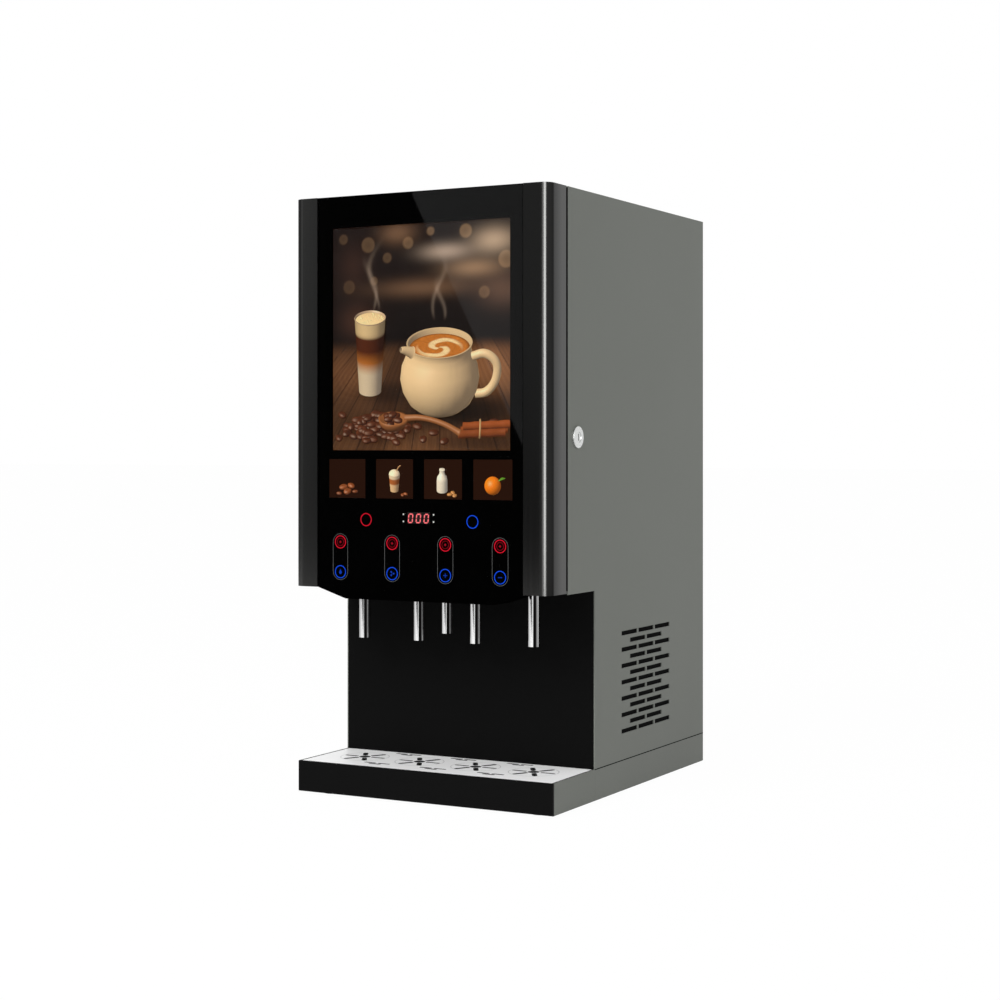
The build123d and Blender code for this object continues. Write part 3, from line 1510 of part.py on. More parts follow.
export_step(condenser.part, "parts/condenser.step")

fan_front_y = back_inner_y - fan_depth
fan_duct_radius = fan_width / 2 - 2.5
spider_depth = 4.0
spider_width = 6.0
axle_length = 14.0
with BuildPart() as fan_housing:
    with BuildSketch(across(back_inner_y)):
        with Locations((fan_offset, fan_height)):
            RectangleRounded(fan_width, fan_width, 4.0)
            Circle(fan_duct_radius, mode=Mode.SUBTRACT)
    extrude(amount=fan_depth)
    with BuildSketch(across(fan_front_y + spider_depth)):
        with Locations((fan_offset, fan_height)):
            Circle(fan_hub_radius)
            Rectangle(fan_width - 2.0, spider_width)
            Rectangle(spider_width, fan_width - 2.0)
    extrude(amount=spider_depth)
    with BuildSketch(across(fan_front_y + spider_depth)):
        with Locations((fan_offset, fan_height)):
            Circle(spindle_radius)
    extrude(amount=-axle_length)
fan_housing.part.label = "fan_housing"
export_step(fan_housing.part, "parts/fan_housing.step")

rotor_front_y = fan_front_y + spider_depth + 0.5
rotor_depth = 15.0
fan_blade_width = 20.0
fan_blade_pitch = 38.0
with BuildPart() as fan_rotor:
    with BuildSketch(across(rotor_front_y)):
        with Locations((fan_offset, fan_height)):
            Circle(fan_hub_radius)
    extrude(amount=-rotor_depth)
    fillet(fan_rotor.edges().group_by(Axis.Y)[-1], radius=2.0)
    for i in range(fan_blades):
        spot = (
            Location((fan_offset, rotor_front_y + rotor_depth / 2, fan_height), (0, 360 / fan_blades * i, 0))
            * Location(((fan_hub_radius + fan_blade_radius) / 2 - 1.0, 0, 0), (fan_blade_pitch, 0, 0))
        )
        with Locations(spot):
            Box(fan_blade_radius - fan_hub_radius, 1.6, fan_blade_width)
    with BuildSketch(across(rotor_front_y)):
        with Locations((fan_offset, fan_height)):
            Circle(spindle_radius + running_gap)
    extrude(amount=-(axle_length + 0.5), mode=Mode.SUBTRACT)
fan_rotor.part.label = "fan_rotor"
export_step(fan_rotor.part, "parts/fan_rotor.step")

# ====================================================================
# Electrics: control board, power inlet and mains switch
# ====================================================================
main_board_width = 160.0
main_board_height = 130.0
main_board_z = 605.0
post_length = 8.0
relay_count = 6
relay_pitch = 22.0
with BuildPart() as control_board:
    board_y = back_inner_y - post_length
    with BuildSketch(across(board_y)):
        with Locations((0, main_board_z)):
            RectangleRounded(main_board_width, main_board_height, 4.0)
    extrude(amount=board_thickness)
    with BuildSketch(across(back_inner_y)):
        with Locations((0, main_board_z)):
            with GridLocations(main_board_width - 14.0, main_board_height - 14.0, 2, 2):
                Circle(board_post_radius)
    extrude(amount=post_length)
    with BuildSketch(across(board_y - board_thickness)):
        with Locations((0, main_board_z + 38.0)):
            with GridLocations(relay_pitch, 1, relay_count, 1):
                Rectangle(16.0, 20.0)
    extrude(amount=15.0)
    with BuildSketch(across(board_y - board_thickness)):
        with Locations((-46.0, main_board_z - 22.0)):
            Rectangle(42.0, 36.0)
    extrude(amount=30.0)
    with BuildSketch(across(board_y - board_thickness)):
        with Locations((16.0, main_board_z - 16.0), (46.0, main_board_z - 16.0)):
            Circle(9.0)
    extrude(amount=22.0)
    with BuildSketch(across(board_y - board_thickness)):
        with Locations((28.0, main_board_z - 50.0)):
            Rectangle(80.0, 10.0)
    extrude(amount=12.0)
control_board.part.label = "control_board"
export_step(control_board.part, "parts/control_board.step")

plate_back_y = back_y + power_plate_thickness
socket_z = power_height - 17.0
rocker_z = power_height + 17.0
rocker_gap = 1.0
rocker_well = 16.0
rocker_axis_y = plate_back_y - 3.0
rocker_pin_radius = 1.5
rocker_pin_length = 2.0
contact_width = 2.0
contact_height = 6.0
contact_length = 12.0

with BuildPart() as power_inlet:
    with BuildSketch(across(plate_back_y)):
        with Locations((power_offset, power_height)):
            RectangleRounded(power_plate_width, power_plate_height, 4.0)
    extrude(amount=power_plate_thickness)
    with BuildSketch(across(back_y)):
        with Locations((power_offset, power_height)):
            Rectangle(
                power_plate_width - 2 * power_rim - 2 * seat_gap,
                power_plate_height - 2 * power_rim - 2 * seat_gap,
            )
    extrude(amount=power_body_depth)
    with BuildSketch(across(plate_back_y)):
        with Locations((power_offset, socket_z)):
            RectangleRounded(socket_width, socket_height, 3.0)
    extrude(amount=socket_depth, mode=Mode.SUBTRACT)
    with BuildSketch(across(plate_back_y)):
        with Locations((power_offset, rocker_z)):
            Rectangle(rocker_width + 2 * rocker_gap, rocker_height + 2 * rocker_gap)
    extrude(amount=rocker_well, mode=Mode.SUBTRACT)
    with BuildSketch(along(power_offset - rocker_width / 2 - rocker_gap - rocker_pin_length)):
        with Locations((rocker_axis_y, rocker_z)):
            Circle(rocker_pin_radius + running_gap)
    extrude(amount=rocker_width + 2 * rocker_gap + 2 * rocker_pin_length, mode=Mode.SUBTRACT)
    # three contacts at the bottom of the socket
    with BuildSketch(across(plate_back_y - socket_depth)):
        with Locations((power_offset, socket_z + 2.0)):
            Rectangle(contact_width, contact_height)
        with Locations((power_offset, socket_z - 2.0)):
            with GridLocations(14.0, 1, 2, 1):
                Rectangle(contact_width, contact_height)
    extrude(amount=-contact_length)
power_inlet.part.label = "power_inlet"
export_step(power_inlet.part, "parts/power_inlet.step")

# The rocker rests on "off": its face is bent, and one half is pressed in
rocker_face = 4.5  # of the rocker's face outside its axis, at its middle
rocker_back = 6.0
half_throw = rocker_throw / 2
with BuildPart() as rocker_switch:
    with BuildSketch(along(power_offset - rocker_width / 2)):
        with BuildLine():
            Polyline(
                (rocker_axis_y - rocker_back, rocker_z - rocker_height / 3),
                (rocker_axis_y + rocker_face, rocker_z - rocker_height / 2 + rocker_gap / 2),
                (rocker_axis_y + rocker_face / 2, rocker_z),
                (rocker_axis_y + rocker_face, rocker_z + rocker_height / 2 - rocker_gap / 2),
                (rocker_axis_y - rocker_back, rocker_z + rocker_height / 3),
                close=True,
            )
        make_face()
    extrude(amount=rocker_width)
    with BuildSketch(along(power_offset - rocker_width / 2 - rocker_pin_length)):
        with Locations((rocker_axis_y, rocker_z)):
            Circle(rocker_pin_radius)
    extrude(amount=rocker_width + 2 * rocker_pin_length)
rocker_turned = rocker_switch.part.rotate(
    Axis((power_offset, rocker_axis_y, rocker_z), (1, 0, 0)), half_throw
)
rocker_turned.label = "rocker_switch"
export_step(rocker_turned, "parts/rocker_switch.step")
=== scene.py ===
# Countertop instant drink dispenser: finishes, front artwork, small fittings, light and camera
# round the fixed frame. Metres; X to the right, front at -Y, Z up.
import math
import random

import bpy
import bmesh
import numpy as np
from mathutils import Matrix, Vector


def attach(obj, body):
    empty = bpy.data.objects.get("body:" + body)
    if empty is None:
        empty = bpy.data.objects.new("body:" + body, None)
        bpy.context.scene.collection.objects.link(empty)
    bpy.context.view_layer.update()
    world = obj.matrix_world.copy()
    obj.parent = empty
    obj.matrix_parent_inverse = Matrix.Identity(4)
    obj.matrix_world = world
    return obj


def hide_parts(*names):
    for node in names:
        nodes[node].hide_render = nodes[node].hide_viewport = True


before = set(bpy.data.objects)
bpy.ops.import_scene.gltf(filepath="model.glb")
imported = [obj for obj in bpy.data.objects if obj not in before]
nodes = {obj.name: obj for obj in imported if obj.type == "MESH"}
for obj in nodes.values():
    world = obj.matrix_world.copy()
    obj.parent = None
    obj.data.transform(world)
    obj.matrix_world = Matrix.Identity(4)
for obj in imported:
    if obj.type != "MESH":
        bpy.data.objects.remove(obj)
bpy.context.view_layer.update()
chance = random.Random(11)
print("frame loaded:", len(nodes), "nodes")


def mm(*values):
    return tuple(value * 0.001 for value in values)


def tint(red, green, blue):
    # display values of 0 to 255 as the linear colour that a socket takes
    return tuple((v / 255 / 12.92) if v < 10.3 else ((v / 255 + 0.055) / 1.055) ** 2.4
                 for v in (red, green, blue))


def shade(colour, factor):
    return tuple(channel * factor for channel in colour)


# Material helpers. Each finish starts as one plain shader, and then gets its own grain,
# mottling and wear.
def newMaterial(name):
    finish = bpy.data.materials.new(name)
    finish.use_nodes = True
    return finish


def newFinish(name, colour, roughness, **sockets):
    finish = newMaterial(name)
    shader = finish.node_tree.nodes["Principled BSDF"]
    shader.inputs["Base Color"].default_value = (*colour, 1.0)
    shader.inputs["Roughness"].default_value = roughness
    for socket, value in sockets.items():
        shader.inputs[socket.replace("_", " ")].default_value = value
    return finish


def addNode(finish, kind, **settings):
    node = finish.node_tree.nodes.new(kind)
    for key, value in settings.items():
        setattr(node, key, value)
    return node


def join(finish, source, target):
    finish.node_tree.links.new(source, target)


def feed(finish, source, socket):
    join(finish, source, finish.node_tree.nodes["Principled BSDF"].inputs[socket])


def finishWith(finish, source):
    join(finish, source, finish.node_tree.nodes["Material Output"].inputs["Surface"])


def placed(finish, stretch=(1, 1, 1)):
    # where a texture sits on the machine, stretched along an axis for drawn or brushed metal
    coords = addNode(finish, "ShaderNodeTexCoord")
    mapping = addNode(finish, "ShaderNodeMapping")
    mapping.inputs["Scale"].default_value = stretch
    join(finish, coords.outputs["Object"], mapping.inputs["Vector"])
    return mapping.outputs["Vector"]


def onAxis(finish, vector, axis):
    # one axis of a place or of a facing
    split = addNode(finish, "ShaderNodeSeparateXYZ")
    join(finish, vector, split.inputs["Vector"])
    return split.outputs[axis]


def mathStep(finish, operation, first, second=None):
    # a value worked with another value or with a number
    step = addNode(finish, "ShaderNodeMath", operation=operation)
    join(finish, first, step.inputs[0])
    if isinstance(second, float):
        step.inputs[1].default_value = second
    elif second:
        join(finish, second, step.inputs[1])
    return step.outputs["Value"]


def noise(finish, scale, detail=2.0, stretch=(1, 1, 1)):
    texture = addNode(finish, "ShaderNodeTexNoise")
    texture.inputs["Scale"].default_value = scale
    texture.inputs["Detail"].default_value = detail
    join(finish, placed(finish, stretch), texture.inputs["Vector"])
    return texture.outputs["Fac"]


def cells(finish, scale):
    texture = addNode(finish, "ShaderNodeTexVoronoi")
    texture.inputs["Scale"].default_value = scale
    join(finish, placed(finish), texture.inputs["Vector"])
    return texture


def spread(finish, value, low, high, start=0.3, end=0.7):
    # a texture value of start to end becomes low to high
    span = addNode(finish, "ShaderNodeMapRange")
    for socket, number in zip(("From Min", "From Max", "To Min", "To Max"), (start, end, low, high)):
        span.inputs[socket].default_value = number
    join(finish, value, span.inputs["Value"])
    return span.outputs["Result"]


def ramped(finish, value, stops, blend="LINEAR"):
    # a value of 0 to 1 becomes a colour, by stops of (position, colour)
    ramp = addNode(finish, "ShaderNodeValToRGB")
    ramp.color_ramp.interpolation = blend
    marks = ramp.color_ramp.elements
    for mark, (position, colour) in ((marks[0], stops[0]), (marks[1], stops[-1])):
        mark.position = position
        mark.color = (*colour, 1.0)
    for position, colour in stops[1:-1]:
        marks.new(position).color = (*colour, 1.0)
    join(finish, value, ramp.inputs["Fac"])
    return ramp.outputs["Color"]


def addGrain(finish, height, depth=0.2):
    bump = addNode(finish, "ShaderNodeBump")
    bump.inputs["Strength"].default_value = depth
    bump.inputs["Distance"].default_value = 0.0004
    join(finish, height, bump.inputs["Height"])
    feed(finish, bump.outputs["Normal"], "Normal")


def addMottleAndShade(finish, value, dark, pale):
    # the colour runs between two tones by a value: a drift of near tones on most finishes, and painted shade
    # of its cut edges on the grille plate
    feed(finish, ramped(finish, value, ((0.3, dark), (0.7, pale))), "Base Color")


def addWear(finish, value, low, high):
    # roughness drifts as handled or cleaned surfaces do
    feed(finish, spread(finish, value, low, high), "Roughness")


def powderCoat(name, colour, roughness, shine):
    # sprayed and baked: fine orange peel, and a faint drift of tone
    finish = newFinish(name, colour, roughness, Specular_IOR_Level=shine)
    addMottleAndShade(finish, noise(finish, 1800.0, 1.0), shade(colour, 0.97), shade(colour, 1.03))
    addGrain(finish, noise(finish, 1400.0, 1.0), 0.10)
    addWear(finish, noise(finish, 5.0, 3.0), roughness - 0.01, roughness + 0.02)
    return finish


def brushedMetal(name, colour, roughness, stretch, depth=0.12):
    finish = newFinish(name, colour, roughness, Metallic=1.0)
    lines = noise(finish, 90.0, 4.0, stretch)
    addMottleAndShade(finish, lines, shade(colour, 0.93), shade(colour, 1.03))
    addGrain(finish, lines, depth)
    addWear(finish, lines, roughness - 0.04, roughness + 0.06)
    return finish


def zincSheet(name, colour, roughness):
    # spangled sheet: each crystal has its own tone and shine
    finish = newFinish(name, colour, roughness, Metallic=1.0)
    split = addNode(finish, "ShaderNodeSeparateColor")
    join(finish, cells(finish, 160.0).outputs["Color"], split.inputs["Color"])
    addMottleAndShade(finish, split.outputs["Red"], shade(colour, 0.86), shade(colour, 1.05))
    addWear(finish, split.outputs["Green"], roughness - 0.08, roughness + 0.1)
    return finish


def mouldedPlastic(name, colour, roughness, grain=900.0, depth=0.1, **sockets):
    finish = newFinish(name, colour, roughness, **sockets)
    addGrain(finish, noise(finish, grain, 2.0), depth)
    addWear(finish, noise(finish, 20.0, 2.0), roughness - 0.04, roughness + 0.05)
    return finish


def foamBlock(name, colour, roughness, scale, depth, **sockets):
    # open foam: the cells show as a coarse grain
    finish = newFinish(name, colour, roughness, **sockets)
    foam = cells(finish, scale).outputs["Distance"]
    addGrain(finish, foam, depth)
    return finish, foam


tone = {
    "sidePaint": tint(108, 111, 105),
    "blackPaint": tint(10, 10, 10),
    "zinc": (0.60, 0.61, 0.62),
    "chrome": (0.86, 0.86, 0.87),
    "lockNickel": (0.66, 0.67, 0.66),
    "plate": (0.94, 0.94, 0.94),
    "blackPlastic": tint(10, 10, 10),
    "profile": tint(91, 91, 90),
    "hopper": tint(226, 226, 221),
    "bowl": tint(214, 214, 208),
    "white": tint(222, 221, 216),
    "motor": (0.50, 0.51, 0.53),
    "foam": tint(34, 34, 36),
    "enamel": tint(12, 12, 13),
    "fins": (0.72, 0.73, 0.74),
    "silicone": tint(214, 213, 206),
    "rubber": tint(18, 18, 18),
    "red": tint(170, 22, 20),
    "solderMask": tint(12, 70, 38),
    "terminals": tint(196, 190, 168),
    "cans": tint(38, 40, 46),
    "relays": tint(30, 62, 140),
    "tiles": tint(42, 22, 14),
}

chrome = newFinish("chrome", tone["chrome"], 0.07, Metallic=1.0)
addWear(chrome, noise(chrome, 40.0, 3.0, (1, 1, 0.05)), 0.05, 0.10)

# painted reflection: the outlet tubes' colour follows their facing, bright on one side, with a black band and
# a grey one beyond it
tubeReflectionPaint = {"facing": (0.88, 0.476, 0.0),
            "shares": ((0.0, 0.3), (0.12, 0.6), (0.28, 1.0), (0.43, 1.0), (0.45, 0.004), (0.68, 0.004),
                       (0.71, 0.25), (0.84, 0.75), (0.95, 0.8), (1.0, 0.3))}
tubeChromePaintedReflection = newFinish("tube chrome with painted reflection", tone["chrome"], 0.08, Metallic=1.0)
addWear(tubeChromePaintedReflection, noise(tubeChromePaintedReflection, 40.0, 3.0, (1, 1, 0.05)), 0.06, 0.11)
tubeSide = addNode(tubeChromePaintedReflection, "ShaderNodeNewGeometry")
tubeFacing = addNode(tubeChromePaintedReflection, "ShaderNodeVectorMath", operation="DOT_PRODUCT")
tubeFacing.inputs[1].default_value = tubeReflectionPaint["facing"]
join(tubeChromePaintedReflection, tubeSide.outputs["Normal"], tubeFacing.inputs[0])
acrossTube = spread(tubeChromePaintedReflection, tubeFacing.outputs["Value"], 0.0, 1.0, -1.0, 1.0)
tubeStops = [(stop, (share,) * 3) for stop, share in tubeReflectionPaint["shares"]]
feed(tubeChromePaintedReflection, ramped(tubeChromePaintedReflection, acrossTube, tubeStops), "Base Color")

# painted shade: the plate keeps its bright colour where it faces up or down, and turns near black on its cut
# edges and slot walls
plateWithEdgeShade = newFinish("polished plate with painted edge shade", tone["plate"], 0.45, Metallic=0.1)
addWear(plateWithEdgeShade, noise(plateWithEdgeShade, 90.0, 4.0, (0.05, 6, 6)), 0.40, 0.50)
plateSide = addNode(plateWithEdgeShade, "ShaderNodeNewGeometry")
plateFlat = mathStep(plateWithEdgeShade, "ABSOLUTE", onAxis(plateWithEdgeShade, plateSide.outputs["Normal"], "Z"))
addMottleAndShade(plateWithEdgeShade, plateFlat, shade(tone["plate"], 0.02), tone["plate"])

# painted reflection and shade: the profile's colour is deepest just behind its front corner and grows lighter
# towards the back
profileReflectionPaint = {"front": -0.2205, "back": -0.177,
               "shares": ((0.0, 1.0), (0.044, 1.0), (0.067, 0.22), (0.16, 0.2), (0.22, 0.1), (0.38, 0.27),
                          (0.55, 0.47), (0.72, 0.65), (1.0, 0.65))}
doorProfilePaintedReflection = newFinish("anodised profile with painted reflection", tone["profile"], 0.17, Metallic=1.0)
addWear(doorProfilePaintedReflection, noise(doorProfilePaintedReflection, 60.0, 3.0, (4, 4, 0.02)), 0.155, 0.185)
addGrain(doorProfilePaintedReflection, noise(doorProfilePaintedReflection, 90.0, 2.0, (4, 4, 0.02)), 0.015)
acrossProfile = spread(doorProfilePaintedReflection, onAxis(doorProfilePaintedReflection, placed(doorProfilePaintedReflection), "Y"), 0.0, 1.0,
                       profileReflectionPaint["front"], profileReflectionPaint["back"])
profileStops = [(stop, shade(tone["profile"], share)) for stop, share in profileReflectionPaint["shares"]]
feed(doorProfilePaintedReflection, ramped(doorProfilePaintedReflection, acrossProfile, profileStops), "Base Color")

compressorBlack = newFinish("black enamel", tone["enamel"], 0.18, Coat_Weight=0.6)
addGrain(compressorBlack, noise(compressorBlack, 120.0, 2.0), 0.08)

insulation, foam = foamBlock("foam jacket", tone["foam"], 0.92, 420.0, 0.6)
addMottleAndShade(insulation, foam, shade(tone["foam"], 0.7), shade(tone["foam"], 1.3))

# board: green mask with tracks; the parts that stand up from it take their own colours by level
boardLook = {"maskDepth": 0.1955, "nearest": 0.1, "low": 0.540, "high": 0.670, "cans": 0.19, "relays": 0.66}
circuitBoard = newFinish("circuit board", tone["solderMask"], 0.32)
tracks = addNode(circuitBoard, "ShaderNodeTexBrick", offset=0.5)
for socket, value in (("Scale", 260.0), ("Mortar Size", 0.02),
                      ("Color1", (*shade(tone["solderMask"], 0.8), 1)), ("Color2", (*tone["solderMask"], 1)),
                      ("Mortar", (*shade(tone["solderMask"], 2.2), 1))):
    tracks.inputs[socket].default_value = value
trackTurn = addNode(circuitBoard, "ShaderNodeMapping")
trackTurn.inputs["Rotation"].default_value = (math.pi / 2, 0, 0)
join(circuitBoard, placed(circuitBoard), trackTurn.inputs["Vector"])
join(circuitBoard, trackTurn.outputs["Vector"], tracks.inputs["Vector"])
boardPlace = placed(circuitBoard)
boardLevel = spread(circuitBoard, onAxis(circuitBoard, boardPlace, "Z"), 0.0, 1.0,
                    boardLook["low"], boardLook["high"])
partTones = ramped(circuitBoard, boardLevel, ((0.0, tone["terminals"]), (boardLook["cans"], tone["cans"]),
                                              (boardLook["relays"], tone["relays"])), "CONSTANT")
boardDepth = onAxis(circuitBoard, boardPlace, "Y")
isPart = mathStep(circuitBoard, "MULTIPLY",
                  mathStep(circuitBoard, "LESS_THAN", boardDepth, boardLook["maskDepth"]),
                  mathStep(circuitBoard, "GREATER_THAN", boardDepth, boardLook["nearest"]))
boardMix = addNode(circuitBoard, "ShaderNodeMix", data_type="RGBA")
join(circuitBoard, isPart, boardMix.inputs["Factor"])
join(circuitBoard, tracks.outputs["Color"], boardMix.inputs["A"])
join(circuitBoard, partTones, boardMix.inputs["B"])
feed(circuitBoard, boardMix.outputs["Result"], "Base Color")

slotFinishes = {
    "side_paint": powderCoat("side paint", tone["sidePaint"], 0.45, 0.2),
    "black_paint": powderCoat("black paint", tone["blackPaint"], 0.5, 0.04),
    "galvanised": zincSheet("zinc sheet", tone["zinc"], 0.36),
    "chrome": chrome, "steel_plate": plateWithEdgeShade, "door_profile": doorProfilePaintedReflection,
    "black_plastic": mouldedPlastic("black plastic", tone["blackPlastic"], 0.48, Specular_IOR_Level=0.05),
    "tiles": newFinish("tile print", (0, 0, 0), 0.5, Specular_IOR_Level=0.0,
                       Emission_Color=(*tone["tiles"], 1), Emission_Strength=1.0),
    "circuit_board": circuitBoard, "insulation": insulation, "compressor_black": compressorBlack,
    "hopper_plastic": mouldedPlastic("hopper plastic", tone["hopper"], 0.28, 60.0, 0.05, Alpha=0.82),
    "bowl_plastic": mouldedPlastic("bowl plastic", tone["bowl"], 0.25, 60.0, 0.05, Alpha=0.72),
    "white_plastic": mouldedPlastic("white plastic", tone["white"], 0.42),
    "motor_steel": brushedMetal("zinc plated steel", tone["motor"], 0.34, (6, 0.2, 6)),
    "condenser_fins": brushedMetal("bare aluminium", tone["fins"], 0.38, (2, 2, 2)),
    "silicone": mouldedPlastic("silicone hose", tone["silicone"], 0.5, 200.0, 0.05, Alpha=0.88),
    "foot_rubber": mouldedPlastic("foot rubber", tone["rubber"], 0.8, 500.0, 0.3),
    "switch_red": mouldedPlastic("red switch", tone["red"], 0.3, 700.0, 0.05),
}
for node in nodes.values():
    for materialSlot in node.material_slots:
        known = materialSlot.material.name.split(".")[0] if materialSlot.material else ""
        if known in slotFinishes:
            materialSlot.material = slotFinishes[known]
lockNickel = brushedMetal("lock nickel", tone["lockNickel"], 0.26, (6, 6, 6), 0.03)
# the outlet tubes take the chrome whose colour holds a painted reflection
for name, finish in (("drink_spouts", tubeChromePaintedReflection), ("water_spout", tubeChromePaintedReflection), ("lock_housing", lockNickel),
                     ("lock_plug", lockNickel)):
    nodes[name].material_slots[0].material = finish
print("finishes on the frame")


# Building helpers, in millimetres
def newPiece(name, corners, faces, finish, body, smooth=False):
    # one mesh piece from its corners, riding on a body
    mesh = bpy.data.meshes.new(name)
    mesh.from_pydata([mm(*corner) for corner in corners], [], faces)
    bm = bmesh.new()
    bm.from_mesh(mesh)
    bmesh.ops.recalc_face_normals(bm, faces=bm.faces)
    bm.to_mesh(mesh)
    bm.free()
    if smooth:
        mesh.shade_smooth()
    piece = bpy.data.objects.new(name, mesh)
    bpy.context.scene.collection.objects.link(piece)
    mesh.materials.append(finish)
    if body:
        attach(piece, body)
    return piece


def circle(radius, steps=40, x=0.0, y=0.0):
    return [(x + radius * math.cos(2 * math.pi * i / steps), y + radius * math.sin(2 * math.pi * i / steps))
            for i in range(steps)]


def rectangle(a1, a2, b1, b2):
    return [(a1, b1), (a2, b1), (a2, b2), (a1, b2)]


def skin(rows, steps, closed=False):
    # faces between rings of steps corners; closed joins the last ring to the first
    return [(row * steps + i, row * steps + (i + 1) % steps,
             (row + 1) % rows * steps + (i + 1) % steps, (row + 1) % rows * steps + i)
            for row in range(rows if closed else rows - 1) for i in range(steps)]


def ends(rows, steps):
    # faces that close the first and the last ring
    return [tuple(range(steps))[::-1], tuple(range((rows - 1) * steps, rows * steps))]


def eased(points, rounds=3):
    # corner cutting: turns a rough route into a smooth one
    path = [Vector(point) for point in points]
    for _ in range(rounds):
        cut = [path[0]]
        for a, b in zip(path, path[1:]):
            cut += [a.lerp(b, 0.25), a.lerp(b, 0.75)]
        path = cut + [path[-1]]
    return path


class Shape:
    # corners and faces of a piece that is put together from simple forms
    def __init__(self):
        self.corners, self.faces = [], []

    def add(self, corners, faces):
        start = len(self.corners)
        self.corners += [tuple(corner) for corner in corners]
        self.faces += [tuple(start + index for index in face) for face in faces]

    def rings(self, rings, closed=False, capped=False):
        # rings of corners joined one to the next
        rows, steps = len(rings), len(rings[0])
        self.add([corner for ring in rings for corner in ring],
                 skin(rows, steps, closed) + (ends(rows, steps) if capped else []))

    def prism(self, outline, axis, low, high):
        # a flat outline pulled along an axis: "y" takes (x, z) points, "z" (x, y), "x" (y, z)
        def at(point, level):
            a, b = point
            return {"x": (level, a, b), "y": (a, level, b), "z": (a, b, level)}[axis]
        self.rings([[at(point, level) for point in outline] for level in (low, high)], capped=True)

    def block(self, low, high, chamfer=0.4):
        # a moulded or milled block whose upright edges are broken
        (x1, y1, z1), (x2, y2, z2) = low, high
        c = min(chamfer, (x2 - x1) / 3, (z2 - z1) / 3)
        outline = [(x1 + c, z1), (x2 - c, z1), (x2, z1 + c), (x2, z2 - c),
                   (x2 - c, z2), (x1 + c, z2), (x1, z2 - c), (x1, z1 + c)]
        self.prism(outline, "y", y1, y2)

    def lathe(self, profile, centre, axis, steps=24):
        # profile of (radius, height) turned about an axis through centre
        turn = Vector((0, 0, 1)).rotation_difference(Vector(axis)).to_matrix()
        self.rings([[turn @ Vector((x, y, height)) + Vector(centre) for x, y in circle(radius, steps)]
                    for radius, height in profile], capped=True)

    def tube(self, path, radius, steps=10, closed=False):
        # a round wire or hose along a path of points
        points = [Vector(point) for point in path]
        count = len(points)
        side = None
        rings = []
        for i, point in enumerate(points):
            before = points[i - 1] if (i or closed) else point
            after = points[(i + 1) % count] if (i < count - 1 or closed) else point
            way = (after - before).normalized()
            if side is None:
                side = way.orthogonal().normalized()
            side = (side - way * side.dot(way)).normalized()
            up = way.cross(side)
            rings.append([point + a * side + b * up for a, b in circle(radius, steps)])
        self.rings(rings, closed, capped=not closed)

    def piece(self, name, finish, body, slotName=None, smooth=False):
        return newPiece(name, self.corners, self.faces, finish, body, smooth)


# Door glass: a clear pane that stands for the solid one, over the black print of the frame
pane = {"halfWidth": 136.3, "top": 703.8, "shoulder": 247.7, "bottom": 235.2,
        "chinHalfWidth": 97.4, "front": -220.5, "back": -217.8, "edge": 0.4}


def paneOutline(inset):
    w, c = pane["halfWidth"] - inset, pane["chinHalfWidth"] - inset / 2
    return [(-c, pane["bottom"] + inset), (c, pane["bottom"] + inset),
            (w, pane["shoulder"] + inset / 2), (w, pane["top"] - inset),
            (-w, pane["top"] - inset), (-w, pane["shoulder"] + inset / 2)]


glassClear = newMaterial("door glass")
glassClear.node_tree.nodes.remove(glassClear.node_tree.nodes["Principled BSDF"])
clear = addNode(glassClear, "ShaderNodeBsdfTransparent")
clear.inputs["Color"].default_value = (0.97, 0.98, 0.975, 1)
gloss = addNode(glassClear, "ShaderNodeBsdfGlossy")
gloss.inputs["Roughness"].default_value = 0.015
gloss.inputs["Color"].default_value = (1, 1, 1, 1)
fresnel = addNode(glassClear, "ShaderNodeFresnel")
fresnel.inputs["IOR"].default_value = 1.5
glassMix = addNode(glassClear, "ShaderNodeMixShader")
join(glassClear, fresnel.outputs["Fac"], glassMix.inputs["Fac"])
join(glassClear, clear.outputs["BSDF"], glassMix.inputs[1])
join(glassClear, gloss.outputs["BSDF"], glassMix.inputs[2])
finishWith(glassClear, glassMix.outputs["Shader"])

paneShape = Shape()
paneShape.rings([[(x, level, z) for x, z in paneOutline(inset)] for inset, level in
                 ((pane["edge"], pane["front"]), (0, pane["front"] + pane["edge"]),
                  (0, pane["back"] - pane["edge"]), (pane["edge"], pane["back"]))], capped=True)
doorPane = paneShape.piece("door_pane", glassClear, "door", "door_glass")
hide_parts("door_glass")
paneEdge = newFinish("pane edge", tint(3, 3, 3), 0.5, Specular_IOR_Level=0.0)
addGrain(paneEdge, noise(paneEdge, 900.0, 2.0), 0.1)
doorPane.data.materials.append(paneEdge)
for face in doorPane.data.polygons:
    face.material_index = 0 if abs(face.normal.y) > 0.9 else 1

# Black print on the back of the glass, as the frame behind it shows it
blackPrint = newFinish("black print", tint(2, 2, 2), 0.6, Specular_IOR_Level=0.0)
addGrain(blackPrint, noise(blackPrint, 700.0, 2.0), 0.05)
nodes["door_frame"].material_slots[0].material = blackPrint


def litPrint(name, colour, strength=1.0):
    # a screen print lit from behind
    finish = newFinish(name, shade(colour, 0.2), 0.5, Specular_IOR_Level=0.0,
                       Emission_Color=(*colour, 1.0), Emission_Strength=strength)
    addGrain(finish, noise(finish, 900.0, 2.0), 0.05)
    return finish


